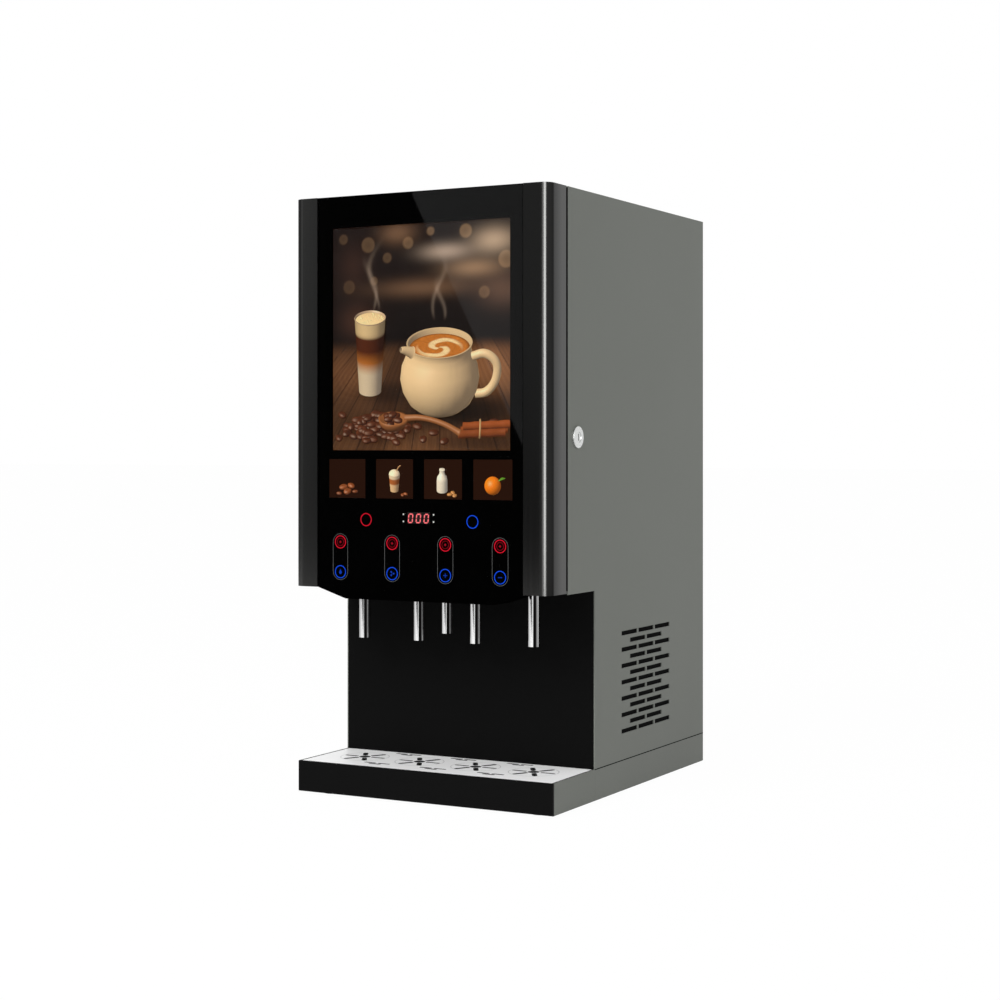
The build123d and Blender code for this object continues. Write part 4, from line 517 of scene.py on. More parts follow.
# Touch keys: a red and a blue ring in each capsule, hot and cold water above them
keys = {"columns": (-106.0, -35.3, 35.3, 106.0), "capsuleWidth": 20.5, "capsuleLow": 256.5,
        "capsuleHigh": 310.5, "redLevel": 300.8, "blueLevel": 266.0, "waterLevel": 327.5,
        "waterOffset": 70.6, "ring": 7.6, "ringLine": 1.0, "markRing": 4.6, "markLine": 0.45,
        "diamond": 1.7, "line": 0.34, "plane": -217.56, "thickness": 0.05}
redLight = litPrint("red light", tint(214, 22, 44))
redDim = litPrint("red light, dim", tint(150, 14, 30))
blueLight = litPrint("blue light", tint(22, 76, 226))
blueDim = litPrint("blue light, dim", tint(16, 56, 170))
greyPrint = litPrint("grey print", tint(112, 112, 112))
whitePrint = litPrint("white print", tint(225, 225, 222))


def band(shape, outline, line, plane, thickness):
    # a closed outline drawn as a line of some width, in the plane of the front
    count = len(outline)
    corners = []
    for i, (x, z) in enumerate(outline):
        before, after = Vector(outline[i - 1]), Vector(outline[(i + 1) % count])
        along = (after - before).normalized()
        out = Vector((along.y, -along.x))
        for side in (0, -line):
            for depth in (plane, plane + thickness):
                corners.append((x + out.x * side, depth, z + out.y * side))
    faces = []
    for i in range(count):
        a, b = 4 * i, 4 * ((i + 1) % count)
        faces += [(a, b, b + 2, a + 2), (a + 1, a + 3, b + 3, b + 1),
                  (a, a + 1, b + 1, b), (a + 2, b + 2, b + 3, a + 3)]
    shape.add(corners, faces)


def drawnRing(shape, x, z, radius, line, steps=48):
    band(shape, circle(radius, steps, x, z), line, keys["plane"], keys["thickness"])


def drawnFill(shape, outline):
    shape.prism(outline, "y", keys["plane"], keys["plane"] + keys["thickness"])


capsules, redRings, blueRings = Shape(), Shape(), Shape()
redMarks, blueMarks = Shape(), Shape()
for x in keys["columns"]:
    r = keys["capsuleWidth"] / 2
    top, low = keys["capsuleHigh"] - r, keys["capsuleLow"] + r
    outline = [(x + r * math.cos(a + start), level + r * math.sin(a + start))
               for level, start in ((top, 0), (low, math.pi)) for a in (math.pi * i / 20 for i in range(21))]
    band(capsules, outline, keys["line"], keys["plane"], keys["thickness"])
    drawnRing(redRings, x, keys["redLevel"], keys["ring"], keys["ringLine"])
    drawnRing(redMarks, x, keys["redLevel"], keys["markRing"], keys["markLine"])
    drawnRing(blueRings, x, keys["blueLevel"], keys["ring"], keys["ringLine"])
    drawnFill(redMarks, circle(keys["diamond"], 4, x, keys["redLevel"]))
drawnRing(redRings, -keys["waterOffset"], keys["waterLevel"], keys["ring"], keys["ringLine"])
drawnRing(blueRings, keys["waterOffset"], keys["waterLevel"], keys["ring"], keys["ringLine"])

# blue marks: a drop, a fan, plus and minus
zBlue = keys["blueLevel"]
dropX, fanX, plusX, minusX = keys["columns"]
drawnFill(blueMarks, [(dropX + 1.9 * math.cos(a), zBlue - 0.8 + 1.9 * math.sin(a))
                      for a in (math.pi * (0.83 + 1.34 * i / 16) for i in range(17))]
          + [(dropX, zBlue + 3.2)])
for blade in range(3):
    turn = 2 * math.pi * blade / 3
    petal = [(0.5, -0.2), (2.2, -1.2), (3.4, -0.2), (3.0, 1.1), (1.4, 0.9)]
    drawnFill(blueMarks, [(fanX + a * math.cos(turn) - b * math.sin(turn),
                           zBlue + a * math.sin(turn) + b * math.cos(turn)) for a, b in petal])
arm, half = 2.6, 0.45
drawnFill(blueMarks, [(plusX + a, zBlue + b) for a, b in
                      [(-arm, -half), (-half, -half), (-half, -arm), (half, -arm), (half, -half),
                       (arm, -half), (arm, half), (half, half), (half, arm), (-half, arm),
                       (-half, half), (-arm, half)]])
drawnFill(blueMarks, rectangle(minusX - arm, minusX + arm, zBlue - half, zBlue + half))
capsules.piece("key_outlines", greyPrint, "door")
redRings.piece("red_key_rings", redLight, "door")
blueRings.piece("blue_key_rings", blueLight, "door")
redMarks.piece("red_key_marks", redDim, "door")
blueMarks.piece("blue_key_marks", blueDim, "door")

# Display: three slanted seven-segment figures over their unlit ghosts, and four lamps
display = {"left": -14.3, "pitch": 10.4, "width": 6.6, "low": 324.6, "high": 335.6, "slant": 0.10,
           "bar": 1.35, "gap": 0.3, "window": (-15.0, 15.0, 324.0, 337.0),
           "lamps": (-20.0, 20.0), "lampLevels": (334.6, 326.4), "lampRadius": 0.95,
           "front": -217.53, "back": -217.5}
digitLight = litPrint("display segments", tint(255, 118, 122), 1.15)
digitGhost = litPrint("display ghosts", tint(58, 38, 38))
displayBack = litPrint("display window", tint(30, 29, 29))


def segmentOutlines(left):
    # the seven bars of a figure that starts at left, before they are slanted
    w, low, high, bar, gap = (display[key] for key in ("width", "low", "high", "bar", "gap"))
    middle = (low + high) / 2
    half = bar / 2

    def level(z):
        return [(left + half + gap, z), (left + bar + gap, z + half), (left + w - bar - gap, z + half),
                (left + w - half - gap, z), (left + w - bar - gap, z - half), (left + bar + gap, z - half)]

    def upright(x, z1, z2):
        return [(x, z1 + gap), (x + half, z1 + half + gap), (x + half, z2 - half - gap),
                (x, z2 - gap), (x - half, z2 - half - gap), (x - half, z1 + half + gap)]
    return {"top": level(high - half), "middle": level(middle), "bottom": level(low + half),
            "upperLeft": upright(left + half, middle, high - half),
            "upperRight": upright(left + w - half, middle, high - half),
            "lowerLeft": upright(left + half, low + half, middle),
            "lowerRight": upright(left + w - half, low + half, middle)}


litSegments, ghostSegments, windowBack, lamps = Shape(), Shape(), Shape(), Shape()
for place in range(3):
    for name, outline in segmentOutlines(display["left"] + place * display["pitch"]).items():
        slanted = [(x + (z - display["low"]) * display["slant"], z) for x, z in outline]
        drawnFill(ghostSegments if name == "middle" else litSegments, slanted)
x1, x2, z1, z2 = display["window"]
windowBack.prism(rectangle(x1, x2, z1, z2), "y", display["front"], display["back"])
for x in display["lamps"]:
    for z in display["lampLevels"]:
        drawnFill(lamps, circle(display["lampRadius"], 20, x, z))
litSegments.piece("display_figures", digitLight, "door")
ghostSegments.piece("display_unlit_bars", digitGhost, "door")
windowBack.piece("display_window", displayBack, "door")
lamps.piece("status_lamps", whitePrint, "door")
print("door glass, keys and display")

# Pictures. Each motif is modelled in the round in a small stage of its own, lit and coloured
# there, and then pressed flat into the print, so near things stay in front of far ones.
picture = {"elevation": 24.0, "key": (-0.62, -0.42, 0.66), "keyColour": (1.30, 1.08, 0.80),
           "fill": (0.75, -0.6, 0.25), "fillColour": (0.20, 0.17, 0.15),
           "ambient": (0.13, 0.11, 0.10)}
litPicture = newFinish("lit picture", (0.01, 0.01, 0.01), 0.5, Specular_IOR_Level=0.0,
                       Emission_Strength=1.0)
pictureColour = addNode(litPicture, "ShaderNodeAttribute", attribute_name="print")
feed(litPicture, pictureColour.outputs["Color"], "Emission Color")
addGrain(litPicture, noise(litPicture, 900.0, 2.0), 0.03)


def flattened(points):
    # points of the little stage as right, up and distance of the picture
    tilt = math.radians(picture["elevation"])
    points = np.asarray(points, float)
    right = points[:, 0]
    up = points[:, 2] * math.cos(tilt) + points[:, 1] * math.sin(tilt)
    away = points[:, 1] * math.cos(tilt) - points[:, 2] * math.sin(tilt)
    return np.stack([right, up, away], axis=1)


def unit(vector):
    vector = np.asarray(vector, float)
    return vector / max(np.linalg.norm(vector), 1e-9)


class Picture:
    # points, tones and faces of a motif, flattened and lit as they are added
    def __init__(self):
        self.points, self.colours, self.faces, self.count = [], [], [], 0

    def add(self, points, faces, colour, gloss=0.0, sharp=30.0, wrap=0.15, light=1.0):
        # colour is one tone or one for each point
        points = np.asarray(points, float)
        normals = np.zeros_like(points)
        for face in faces:
            a, b, c = points[face[0]], points[face[1]], points[face[2]]
            normal = np.cross(b - a, c - a)
            if np.linalg.norm(normal) < 1e-9 and len(face) > 3:
                normal = np.cross(c - a, points[face[3]] - a)
            for index in face:
                normals[index] += normal
        normals /= np.maximum(np.linalg.norm(normals, axis=1, keepdims=True), 1e-9)
        tilt = math.radians(picture["elevation"])
        eye = np.array([0, -math.cos(tilt), math.sin(tilt)])
        normals[normals @ eye < 0] *= -1
        key, fill = unit(picture["key"]), unit(picture["fill"])
        lit = np.clip((normals @ key + wrap) / (1 + wrap), 0, None)[:, None]
        filled = np.clip(normals @ fill, 0, None)[:, None]
        shine = np.clip(normals @ unit(key + eye), 0, 1)[:, None] ** sharp
        tones = np.broadcast_to(np.asarray(colour, float), points.shape)
        result = tones * (np.array(picture["ambient"]) + lit * np.array(picture["keyColour"]) * light
                          + filled * np.array(picture["fillColour"]))
        result = result + gloss * shine * np.array(picture["keyColour"]) * light
        self.points.append(flattened(points))
        self.colours.append(np.clip(result, 0, 1))
        self.faces += [tuple(self.count + index for index in face) for face in faces]
        self.count += len(points)

    def turned(self, centre, profile, colour, gloss=0.0, steps=48, **look):
        # a turned vessel: (radius, height) about an upright axis at centre
        angles = np.arange(steps) * 2 * math.pi / steps
        points = [(centre[0] + r * math.cos(a), centre[1] + r * math.sin(a), centre[2] + h)
                  for r, h in profile for a in angles]
        if callable(colour):
            colour = [colour(*point) for point in points]
        self.add(points, skin(len(profile), steps), colour, gloss, **look)

    def swept(self, path, radii, colour, gloss=0.0, steps=14, **look):
        # a handle, rim or stem: a round section along a path
        shape = Shape()
        shape.tube(path, 1.0, steps)
        points = []
        for i, centre in enumerate(path):
            radius = radii[i] if isinstance(radii, (list, tuple)) else radii
            for corner in shape.corners[i * steps:(i + 1) * steps]:
                points.append(np.array(centre) + radius * (np.array(corner) - np.array(centre)))
        self.add(points, [face for face in shape.faces if len(face) == 4], colour, gloss, **look)

    def bean(self, centre, length, heading, roll, colour):
        # a roasted bean: domed, with its groove sunk along the upper side
        rows, steps = 11, 14
        points, tones = [], []
        cosine, sine = math.cos(heading), math.sin(heading)
        for row in range(rows):
            t = -1 + 2 * row / (rows - 1)
            girth = math.sqrt(max(0.0, 1 - t * t))
            for step in range(steps):
                a = 2 * math.pi * step / steps
                across, up = 0.68 * girth * math.cos(a + roll), 0.5 * girth * math.sin(a + roll)
                groove = math.exp(-((math.cos(a) / 0.22) ** 2)) * (1 if math.sin(a) > 0 else 0)
                across, up = across * (1 - 0.1 * groove), up * (1 - 0.35 * groove)
                px, py, pz = (length / 2 * value for value in (t, across, up))
                points.append((centre[0] + px * cosine - py * sine,
                               centre[1] + px * sine + py * cosine, centre[2] + pz))
                tones.append([channel * (1 - 0.85 * groove) for channel in colour])
        self.add(points, skin(rows, steps), tones, 0.22, sharp=18.0)

    def pressed(self, name, origin, front, depth, body):
        # the finished picture as one thin relief piece
        points, colours = np.concatenate(self.points), np.concatenate(self.colours)
        near, far = points[:, 2].min(), points[:, 2].max()
        away = front + depth * (points[:, 2] - near) / max(far - near, 1e-6)
        corners = [(origin[0] + p[0], y, origin[1] + p[1]) for p, y in zip(points, away)]
        mesh = bpy.data.meshes.new(name)
        mesh.from_pydata([mm(*corner) for corner in corners], [], self.faces)
        attribute = mesh.color_attributes.new("print", "FLOAT_COLOR", "POINT")
        attribute.data.foreach_set("color", np.hstack([colours, np.ones((len(colours), 1))]).ravel())
        mesh.materials.append(litPicture)
        mesh.shade_smooth()
        piece = bpy.data.objects.new(name, mesh)
        bpy.context.scene.collection.objects.link(piece)
        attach(piece, body)
        return piece


# Poster: its own ground behind, then the jug, the glass, the beans and the spice in front
poster = {"low": 408.0, "width": 237.0, "height": 259.5, "step": 1.25,
          "front": -217.35, "depth": 3.3, "tableEdge": 118.0, "vanish": (26.0, 232.0)}
posterTones = {"night": tint(24, 12, 9), "oak": tint(150, 98, 60),
               "oakDark": tint(62, 32, 18), "stoneware": tint(222, 200, 166),
               "crema": tint(196, 122, 52), "foam": tint(246, 224, 180), "coffee": tint(92, 44, 20),
               "milk": tint(238, 226, 206), "bean": tint(88, 46, 26), "spice": tint(146, 78, 40)}
soft = {"glow": [(96, 236, 26, 14, (0.50, 0.34, 0.22)), (34, 226, 30, 9, (0.42, 0.30, 0.22)),
                 (-30, 250, 22, 12, (0.16, 0.08, 0.04)), (70, 206, 34, 10, (0.30, 0.17, 0.09)),
                 (-90, 214, 20, 26, (0.025, 0.010, 0.006)), (4, 186, 60, 10, (0.14, 0.07, 0.035)),
                 (108, 180, 30, 18, (0.10, 0.05, 0.03)), (-84, 150, 24, 20, (0.05, 0.02, 0.012))],
        "discs": [(-70, 238, 9, 0.13), (-44, 222, 6, 0.12), (-96, 190, 8, 0.07), (-62, 196, 5, 0.12),
                  (60, 248, 8, 0.24), (112, 214, 10, 0.20), (-16, 238, 7, 0.16), (14, 250, 5, 0.22),
                  (84, 178, 7, 0.13), (-104, 246, 6, 0.09)],
        "shadows": [(62, 46, 74, 21, 0.80), (30, 44, 52, 20, 0.55), (-40, 66, 44, 13, 0.55),
                    (-52, 24, 58, 18, 0.62), (66, 10, 60, 9, 0.45)]}


def smoothStep(value, start, end):
    t = np.clip((value - start) / (end - start), 0, 1)
    return t * t * (3 - 2 * t)


def posterGround(u, v):
    # table planks run to a vanishing point; above their far edge lies the blurred room
    room = np.zeros(u.shape + (3,)) + np.array(posterTones["night"])
    room *= (0.55 + 0.5 * smoothStep(v, 110, 230))[..., None]
    for x, z, across, up, glow in soft["glow"]:
        room += np.exp(-((u - x) / across) ** 2 - ((v - z) / up) ** 2)[..., None] * np.array(glow)
    for x, z, radius, glow in soft["discs"]:
        away = np.hypot(u - x, v - z)
        edge = 1 - smoothStep(away, radius - 1.6, radius + 1.2)
        disc = edge * (0.75 + 0.25 * smoothStep(away, 0, radius))
        room += disc[..., None] * glow * np.array([0.75, 0.42, 0.20])
    vanishX, vanishZ = poster["vanish"]
    lane = (u - vanishX) / (vanishZ - np.minimum(v, vanishZ - 20)) * 6.2
    plank, part = np.floor(lane), lane - np.floor(lane)
    own = 0.5 + 0.5 * np.sin(plank * 12.9898) * np.cos(plank * 4.1)
    grain = (np.sin(lane * 61 + 2.2 * np.sin(v * 0.11 + plank * 3)) * 0.5
             + np.sin(lane * 143 + 1.7 * np.sin(v * 0.23 + plank)) * 0.3
             + np.sin(lane * 23 + 1.1 * np.sin(v * 0.05 + plank * 7)) * 0.5)
    seam = np.minimum(part, 1 - part)
    oakDark, oak = np.array(posterTones["oakDark"]), np.array(posterTones["oak"])
    wood = oakDark + (oak - oakDark) * (np.clip(0.42 + 0.3 * own + 0.16 * grain, 0, 1.1))[..., None]
    wood *= (1 - 0.78 * (1 - smoothStep(seam, 0.008, 0.035)))[..., None]
    light = 0.34 + 0.95 * np.exp(-((u - 86) / 60) ** 2 - ((v - 96) / 34) ** 2) \
        + 0.5 * np.exp(-((u + 96) / 40) ** 2 - ((v - 88) / 26) ** 2) \
        + 0.42 * np.exp(-((u + 10) / 90) ** 2 - ((v - 6) / 26) ** 2)
    for x, z, across, up, dark in soft["shadows"]:
        light *= 1 - dark * np.exp(-(((u - x) / across) ** 2 + ((v - z) / up) ** 2) ** 1.6)
    wood *= light[..., None]
    blur = smoothStep(v, poster["tableEdge"] - 9, poster["tableEdge"] + 12)[..., None]
    ground = wood * (1 - blur) + room * blur
    # steam over the glass and the jug
    for start, sway, height, phase in ((-64, 9, 74, 0.3), (-58, 13, 96, 2.1), (30, 8, 60, 1.2),
                                       (22, 11, 84, 4.0)):
        rise = (v - (158 if start < 0 else 146)) / height
        line = start + sway * np.sin(rise * 5.2 + phase) * (0.3 + rise)
        wisp = np.exp(-((u - line) / (1.2 + 3.2 * np.clip(rise, 0, 2))) ** 2)
        fade = smoothStep(rise, 0.0, 0.16) * (1 - smoothStep(rise, 0.45, 1.0))
        ground += (wisp * fade * 0.10)[..., None] * np.array([1.0, 0.72, 0.52])
    return np.clip(ground, 0, 1)


def addGround(art, colourAt, width, height, step, away):
    # the flat ground of a picture, a fine net whose corners hold the colour
    columns, rows = int(round(width / step)) + 1, int(round(height / step)) + 1
    u, v = np.meshgrid(np.linspace(-width / 2, width / 2, columns), np.linspace(0, height, rows))
    art.points.append(np.stack([u.ravel(), v.ravel(), np.full(u.size, away)], axis=1))
    art.colours.append(colourAt(u, v).reshape(-1, 3))
    art.faces += [(art.count + r * columns + c, art.count + r * columns + c + 1,
                   art.count + (r + 1) * columns + c + 1, art.count + (r + 1) * columns + c)
                  for r in range(rows - 1) for c in range(columns - 1)]
    art.count += u.size


art = Picture()
addGround(art, posterGround, poster["width"], poster["height"], poster["step"], 400.0)

# squat stoneware jug: a turned body, its poured drink with a pale swirl, a handle and a lip
jug = {"centre": (27.0, 118.0, 0.0), "drink": 75.0,
       "profile": [(26, 0), (30, 1.5), (41, 10), (49, 24), (52, 38), (50, 52), (44.5, 64), (41.5, 72),
                   (42, 78), (43.5, 81)],
       "inside": [(43.5, 81), (42.2, 81.6), (40.8, 80), (40.0, 74)]}


def stonewareTone(x, y, z):
    speck = 1 - 0.07 * (math.sin(x * 1.9 + z * 2.3) * math.sin(y * 2.1 - z * 1.3) > 0.82)
    base = 0.86 if z < 6 else 1.0
    return [channel * speck * base for channel in posterTones["stoneware"]]


art.turned(jug["centre"], jug["profile"], stonewareTone, 0.16, steps=72, sharp=26.0)
art.turned(jug["centre"], jug["inside"], posterTones["stoneware"], 0.10, steps=72, light=0.8)
cx, cy, cz = jug["centre"]


def drinkTone(x, y, z):
    dx, dy = (x - cx) / 40.0, (y - cy) / 40.0
    away, angle = math.hypot(dx, dy), math.atan2(dy, dx)
    swirl = math.sin(2 * angle + 9.5 * away)
    pale = max(0.0, min(1.0, (swirl - 0.1) * 2.2)) * max(0.0, min(1.0, (0.80 - away) * 6))
    rim = max(0.0, min(1.0, (away - 0.88) * 9))
    freckle = 0.86 + 0.14 * math.sin(x * 3.1) * math.sin(y * 3.7)
    return [(c * (1 - pale) + f * pale) * freckle * (1 - 0.55 * rim)
            for c, f in zip(posterTones["crema"], posterTones["foam"])]


art.turned((cx, cy, cz + jug["drink"]), [(0.01 + 40.2 * i / 30, 0.3 * math.sin(i)) for i in range(31)],
           drinkTone, 0.02, steps=90, wrap=0.5, light=1.0)
handle = eased([(cx + 43, cy - 6, 66), (cx + 60, cy - 8, 72), (cx + 76, cy - 10, 60),
                (cx + 74, cy - 10, 38), (cx + 62, cy - 8, 22), (cx + 47, cy - 6, 20)], 3)
art.swept(handle, 5.2, posterTones["stoneware"], 0.22, steps=18, sharp=20.0)
lip = eased([(cx - 36, cy - 22, 79.5), (cx - 44, cy - 26, 84), (cx - 51, cy - 30, 87)], 2)
art.swept(lip, [7.5 - 4.6 * i / (len(lip) - 1) for i in range(len(lip))], posterTones["stoneware"], 0.2)

# tall glass: milk, coffee and foam in layers under a bright rim
glass = {"centre": (-66.0, 168.0, 0.0), "radius": 21.0, "height": 92.0}


def glassTone(x, y, z):
    level = z / glass["height"]
    layers = [(0.0, posterTones["milk"]), (0.30, posterTones["milk"]), (0.46, posterTones["crema"]),
              (0.62, posterTones["coffee"]), (0.80, posterTones["coffee"]), (0.84, posterTones["foam"]),
              (1.0, posterTones["foam"])]
    for (low, a), (high, b) in zip(layers, layers[1:]):
        if level <= high:
            t = (level - low) / (high - low)
            edge = 1 - 0.5 * abs((x - glass["centre"][0]) / glass["radius"]) ** 3
            return [(p * (1 - t) + q * t) * edge * 0.92 for p, q in zip(a, b)]
    return list(posterTones["foam"])


glassProfile = [(15 + 6 * i / 24, glass["height"] * i / 24) for i in range(25)]
art.turned(glass["centre"], glassProfile, glassTone, 0.5, steps=64, sharp=60.0, light=0.85)
art.turned((glass["centre"][0], glass["centre"][1], glass["height"]),
           [(21, 0), (21.6, 0.8), (20.6, 1.2), (19.8, -1)], tint(190, 170, 150), 0.5, steps=64)
art.turned((glass["centre"][0], glass["centre"][1], glass["height"] - 1.6),
           [(0.01 + 19.8 * i / 8, 1.6 * (1 - (i / 8) ** 2)) for i in range(9)], posterTones["foam"], 0.05)
for _ in range(26):
    angle, away = chance.uniform(0, 6.28), 17 * math.sqrt(chance.random())
    art.turned((glass["centre"][0] + away * math.cos(angle), glass["centre"][1] + away * math.sin(angle),
                glass["height"] - 0.4), [(chance.uniform(0.7, 1.7), 0), (0.5, 0.8), (0.01, 1.0)],
               posterTones["foam"], 0.2, steps=10)

# heap of roasted beans with a wooden scoop in it, and a few that rolled away
heap = {"centre": (-58.0, 50.0), "spread": (46.0, 34.0), "layers": (62, 34, 16, 6), "length": 14.5}
for layer, count in enumerate(heap["layers"]):
    reach = 1 - 0.24 * layer
    for i in range(count):
        angle, away = chance.uniform(0, 2 * math.pi), math.sqrt(chance.random()) * reach
        art.bean((heap["centre"][0] + heap["spread"][0] * away * math.cos(angle),
                  heap["centre"][1] + heap["spread"][1] * away * math.sin(angle), 4 + 5.2 * layer),
                 heap["length"] * chance.uniform(0.85, 1.1), chance.uniform(0, math.pi),
                 chance.uniform(-0.7, 0.7), shade(posterTones["bean"], chance.uniform(0.7, 1.15)))
for x, y in ((6, 22), (20, 40), (-2, 58), (-108, 26), (34, 16), (-104, 92), (98, 70), (58, 44), (-30, 14)):
    art.bean((x, y, 4), heap["length"], chance.uniform(0, math.pi), chance.uniform(-0.6, 0.6),
             posterTones["bean"])
scoopBowl = [(20 * math.sin(a), 15 - 15 * math.cos(a)) for a in (math.pi / 2 * i / 8 for i in range(9))]
art.turned((-34.0, 30.0, 12.0), scoopBowl + [(17.6, 14.2), (12, 11)], posterTones["oak"], 0.12, steps=40)
scoopStem = eased([(-18, 32, 26), (4, 26, 30), (34, 16, 26), (54, 8, 18)], 3)
stemEnd = len(scoopStem) - 1
art.swept(scoopStem, [4.4 - 1.2 * math.sin(math.pi * i / stemEnd) for i in range(stemEnd + 1)],
          posterTones["oak"], 0.18)
for x, y, z in ((-40, 28, 27), (-30, 36, 27), (-28, 24, 27), (-42, 38, 26), (-35, 31, 31)):
    art.bean((x, y, z), heap["length"], chance.uniform(0, math.pi), chance.uniform(-0.5, 0.5),
             posterTones["bean"])

# rolled spice bark, tied, at the right
for row, (dy, dz) in enumerate(((0, 4.5), (10, 4.5), (5, 12.2))):
    stick = [(52 + 3 * row + 60 * i / 12, 34 + dy + 6 * i / 12, dz) for i in range(13)]
    art.swept(stick, [4.6 + 0.35 * math.sin(i * 1.7 + row) for i in range(13)],
              shade(posterTones["spice"], 0.8 + 0.12 * row), 0.10, steps=16)
tie = [(80 + 0.5 * math.sin(a), 41 + 13.5 * math.cos(a), 8.2 + 9.6 * math.sin(a))
       for a in (2 * math.pi * i / 40 for i in range(41))]
art.swept(tie, 1.1, tint(190, 160, 120), 0.05, steps=8)
posterPicture = art.pressed("poster_picture", (0.0, poster["low"]), poster["front"], poster["depth"],
                            "door")
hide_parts("poster_panel")
print("poster picture:", len(posterPicture.data.vertices), "corners")

# Four drink tiles: beans, a layered tumbler, a bottle of milk, and a halved orange
tiles = {"columns": (-96.6, -32.2, 32.2, 96.6), "low": 352.5, "height": 45.0,
         "front": -217.72, "depth": 0.18}


def tilePicture(name, column, draw):
    drawing = Picture()
    draw(drawing)
    drawing.pressed(name, (column, tiles["low"]), tiles["front"], tiles["depth"], "door")


def drawBeans(drawing):
    for x, y, heading, size in ((-5, 22, 0.5, 13), (5.5, 26, 2.2, 12), (0.5, 10, 1.0, 13.5)):
        drawing.bean((x, y, 4), size, heading, 0.1, tint(150, 84, 46))
    for x, y in ((-11, 6), (11, 12)):
        drawing.bean((x, y, 3), 8, x * 0.3, 0.2, tint(122, 66, 36))


def drawTumbler(drawing):
    def tone(x, y, z):
        return tint(236, 220, 196) if z > 17 else (tint(176, 104, 56) if z > 9 else tint(228, 196, 158))
    drawing.turned((0, 22, 0), [(5.2 + 2.2 * i / 12, 21 * i / 12) for i in range(13)], tone, 0.45,
                   steps=32, sharp=30.0)
    drawing.turned((0, 22, 21), [(7.4, 0), (6.6, 2.2), (4.6, 3.9), (2.0, 5.0), (0.01, 5.4)],
                   tint(244, 232, 212), 0.1, steps=32)
    drawing.swept(eased([(2, 22, 22), (5, 20, 30), (8, 19, 33)], 2), 0.8, tint(190, 150, 110), 0.2, steps=8)
    for x, y in ((11, 6), (15, 9)):
        drawing.bean((x, y, 2), 6.5, x, 0.2, tint(150, 84, 46))


def drawBottle(drawing):
    drawing.turned((-1, 22, 0), [(6.4, 0), (7.0, 1), (7.0, 14), (6.2, 18), (3.6, 21.5), (3.1, 25), (3.6, 26),
                                 (3.6, 27.4), (0.01, 27.6)], tint(236, 236, 232), 0.3, steps=32)
    for x, y, heading in ((9, 8, 0.3), (13, 13, 1.9), (15.5, 5, 1.1)):
        drawing.bean((x, y, 2.4), 7.5, heading, 0.1, tint(206, 150, 92))


def drawOrange(drawing):
    centre, lean, radius, steps = (0.0, 14.0, 11.0), math.radians(38), 10.5, 40
    angles = [2 * math.pi * i / steps for i in range(steps)]

    def tipped(reach, height, angle):
        # a place on the half fruit, whose cut face leans to the viewer
        y = reach * math.sin(angle)
        return (centre[0] + reach * math.cos(angle), centre[1] + y * math.sin(lean) + height * math.cos(lean),
                centre[2] + y * math.cos(lean) - height * math.sin(lean))
    rind = [(radius * math.sin(a), -radius * math.cos(a)) for a in (math.pi / 2 * i / 10 for i in range(11))]
    drawing.add([tipped(reach, height, a) for reach, height in rind for a in angles],
                skin(len(rind), steps), tint(238, 132, 24), 0.2)
    cut = [(radius, 0.05), (9.7, 0.1), (9.4, 0.12), (6.0, 0.12), (3.0, 0.12), (0.8, 0.1), (0.01, 0.1)]
    points, tones = [], []
    for reach, height in cut:
        for a in angles:
            points.append(tipped(reach, height, a))
            wall = abs(((a * 9 / (2 * math.pi)) % 1) - 0.5) > 0.41 or reach > 9.3 or reach < 1.0
            tones.append(tint(250, 214, 140) if wall else tint(250, 150, 30))
    drawing.add(points, skin(len(cut), steps), tones, 0.05, wrap=0.8)
    leaf = []
    for i in range(9):
        t = i / 8
        wide = 3.4 * math.sin(math.pi * t) + 0.05
        for side in (-1, 0, 1):
            rise = 3.5 * t - abs(side) * 0.8 + 1.5 * math.sin(math.pi * t)
            leaf.append((7 + 9 * t, 8 + side * wide, 20 + rise))
    faces = [(3 * i + j, 3 * i + j + 1, 3 * i + j + 4, 3 * i + j + 3) for i in range(8) for j in range(2)]
    drawing.add(leaf, faces, tint(92, 150, 46), 0.2)


for name, column, draw in zip(("bean_picture", "tumbler_picture", "bottle_picture", "orange_picture"),
                              tiles["columns"], (drawBeans, drawTumbler, drawBottle, drawOrange)):
    tilePicture(name, column, draw)
print("tile pictures")

# Small fittings. Screws first: a low domed head whose cross recess is a raised black cross of painted shade,
# on whatever it holds.
screwSteel = brushedMetal("screw steel", (0.62, 0.62, 0.63), 0.28, (3, 3, 3), 0.05)
blackScrew = mouldedPlastic("blackened screw", tint(24, 24, 25), 0.35, 600.0, 0.05)
recessShade = newFinish("recess", tint(4, 4, 4), 0.8, Specular_IOR_Level=0.1)


def screws(name, places, facing, radius, finish, body):
    # domed heads on their places, each with its cross turned as chance has it
    heads, crosses = Shape(), Shape()
    rise = radius * 0.55
    dome = [(radius, 0.0), (radius * 0.98, rise * 0.3), (radius * 0.85, rise * 0.65),
            (radius * 0.6, rise * 0.9), (radius * 0.3, rise), (0.01, rise)]
    facing = Vector(facing)
    across = facing.orthogonal().normalized()
    over = facing.cross(across)
    for place in places:
        heads.lathe(dome, place, facing, 20)
        turn = chance.uniform(0, math.pi)
        for quarter in (0, math.pi / 2):
            along = math.cos(turn + quarter) * across + math.sin(turn + quarter) * over
            wide = along.cross(facing)
            cross = ((-0.55, -0.11), (0.55, -0.11), (0.55, 0.11), (-0.55, 0.11))
            # the cross recess as a black cross of painted shade, set just proud of the head
            crosses.rings([[Vector(place) + radius * (a * along + b * wide) + level * facing
                            for a, b in cross] for level in (rise * 0.75, rise + 0.04)], capped=True)
    heads.piece(name + "_heads", finish, body, smooth=True)
    crosses.piece(name + "_recess_shade", recessShade, body)


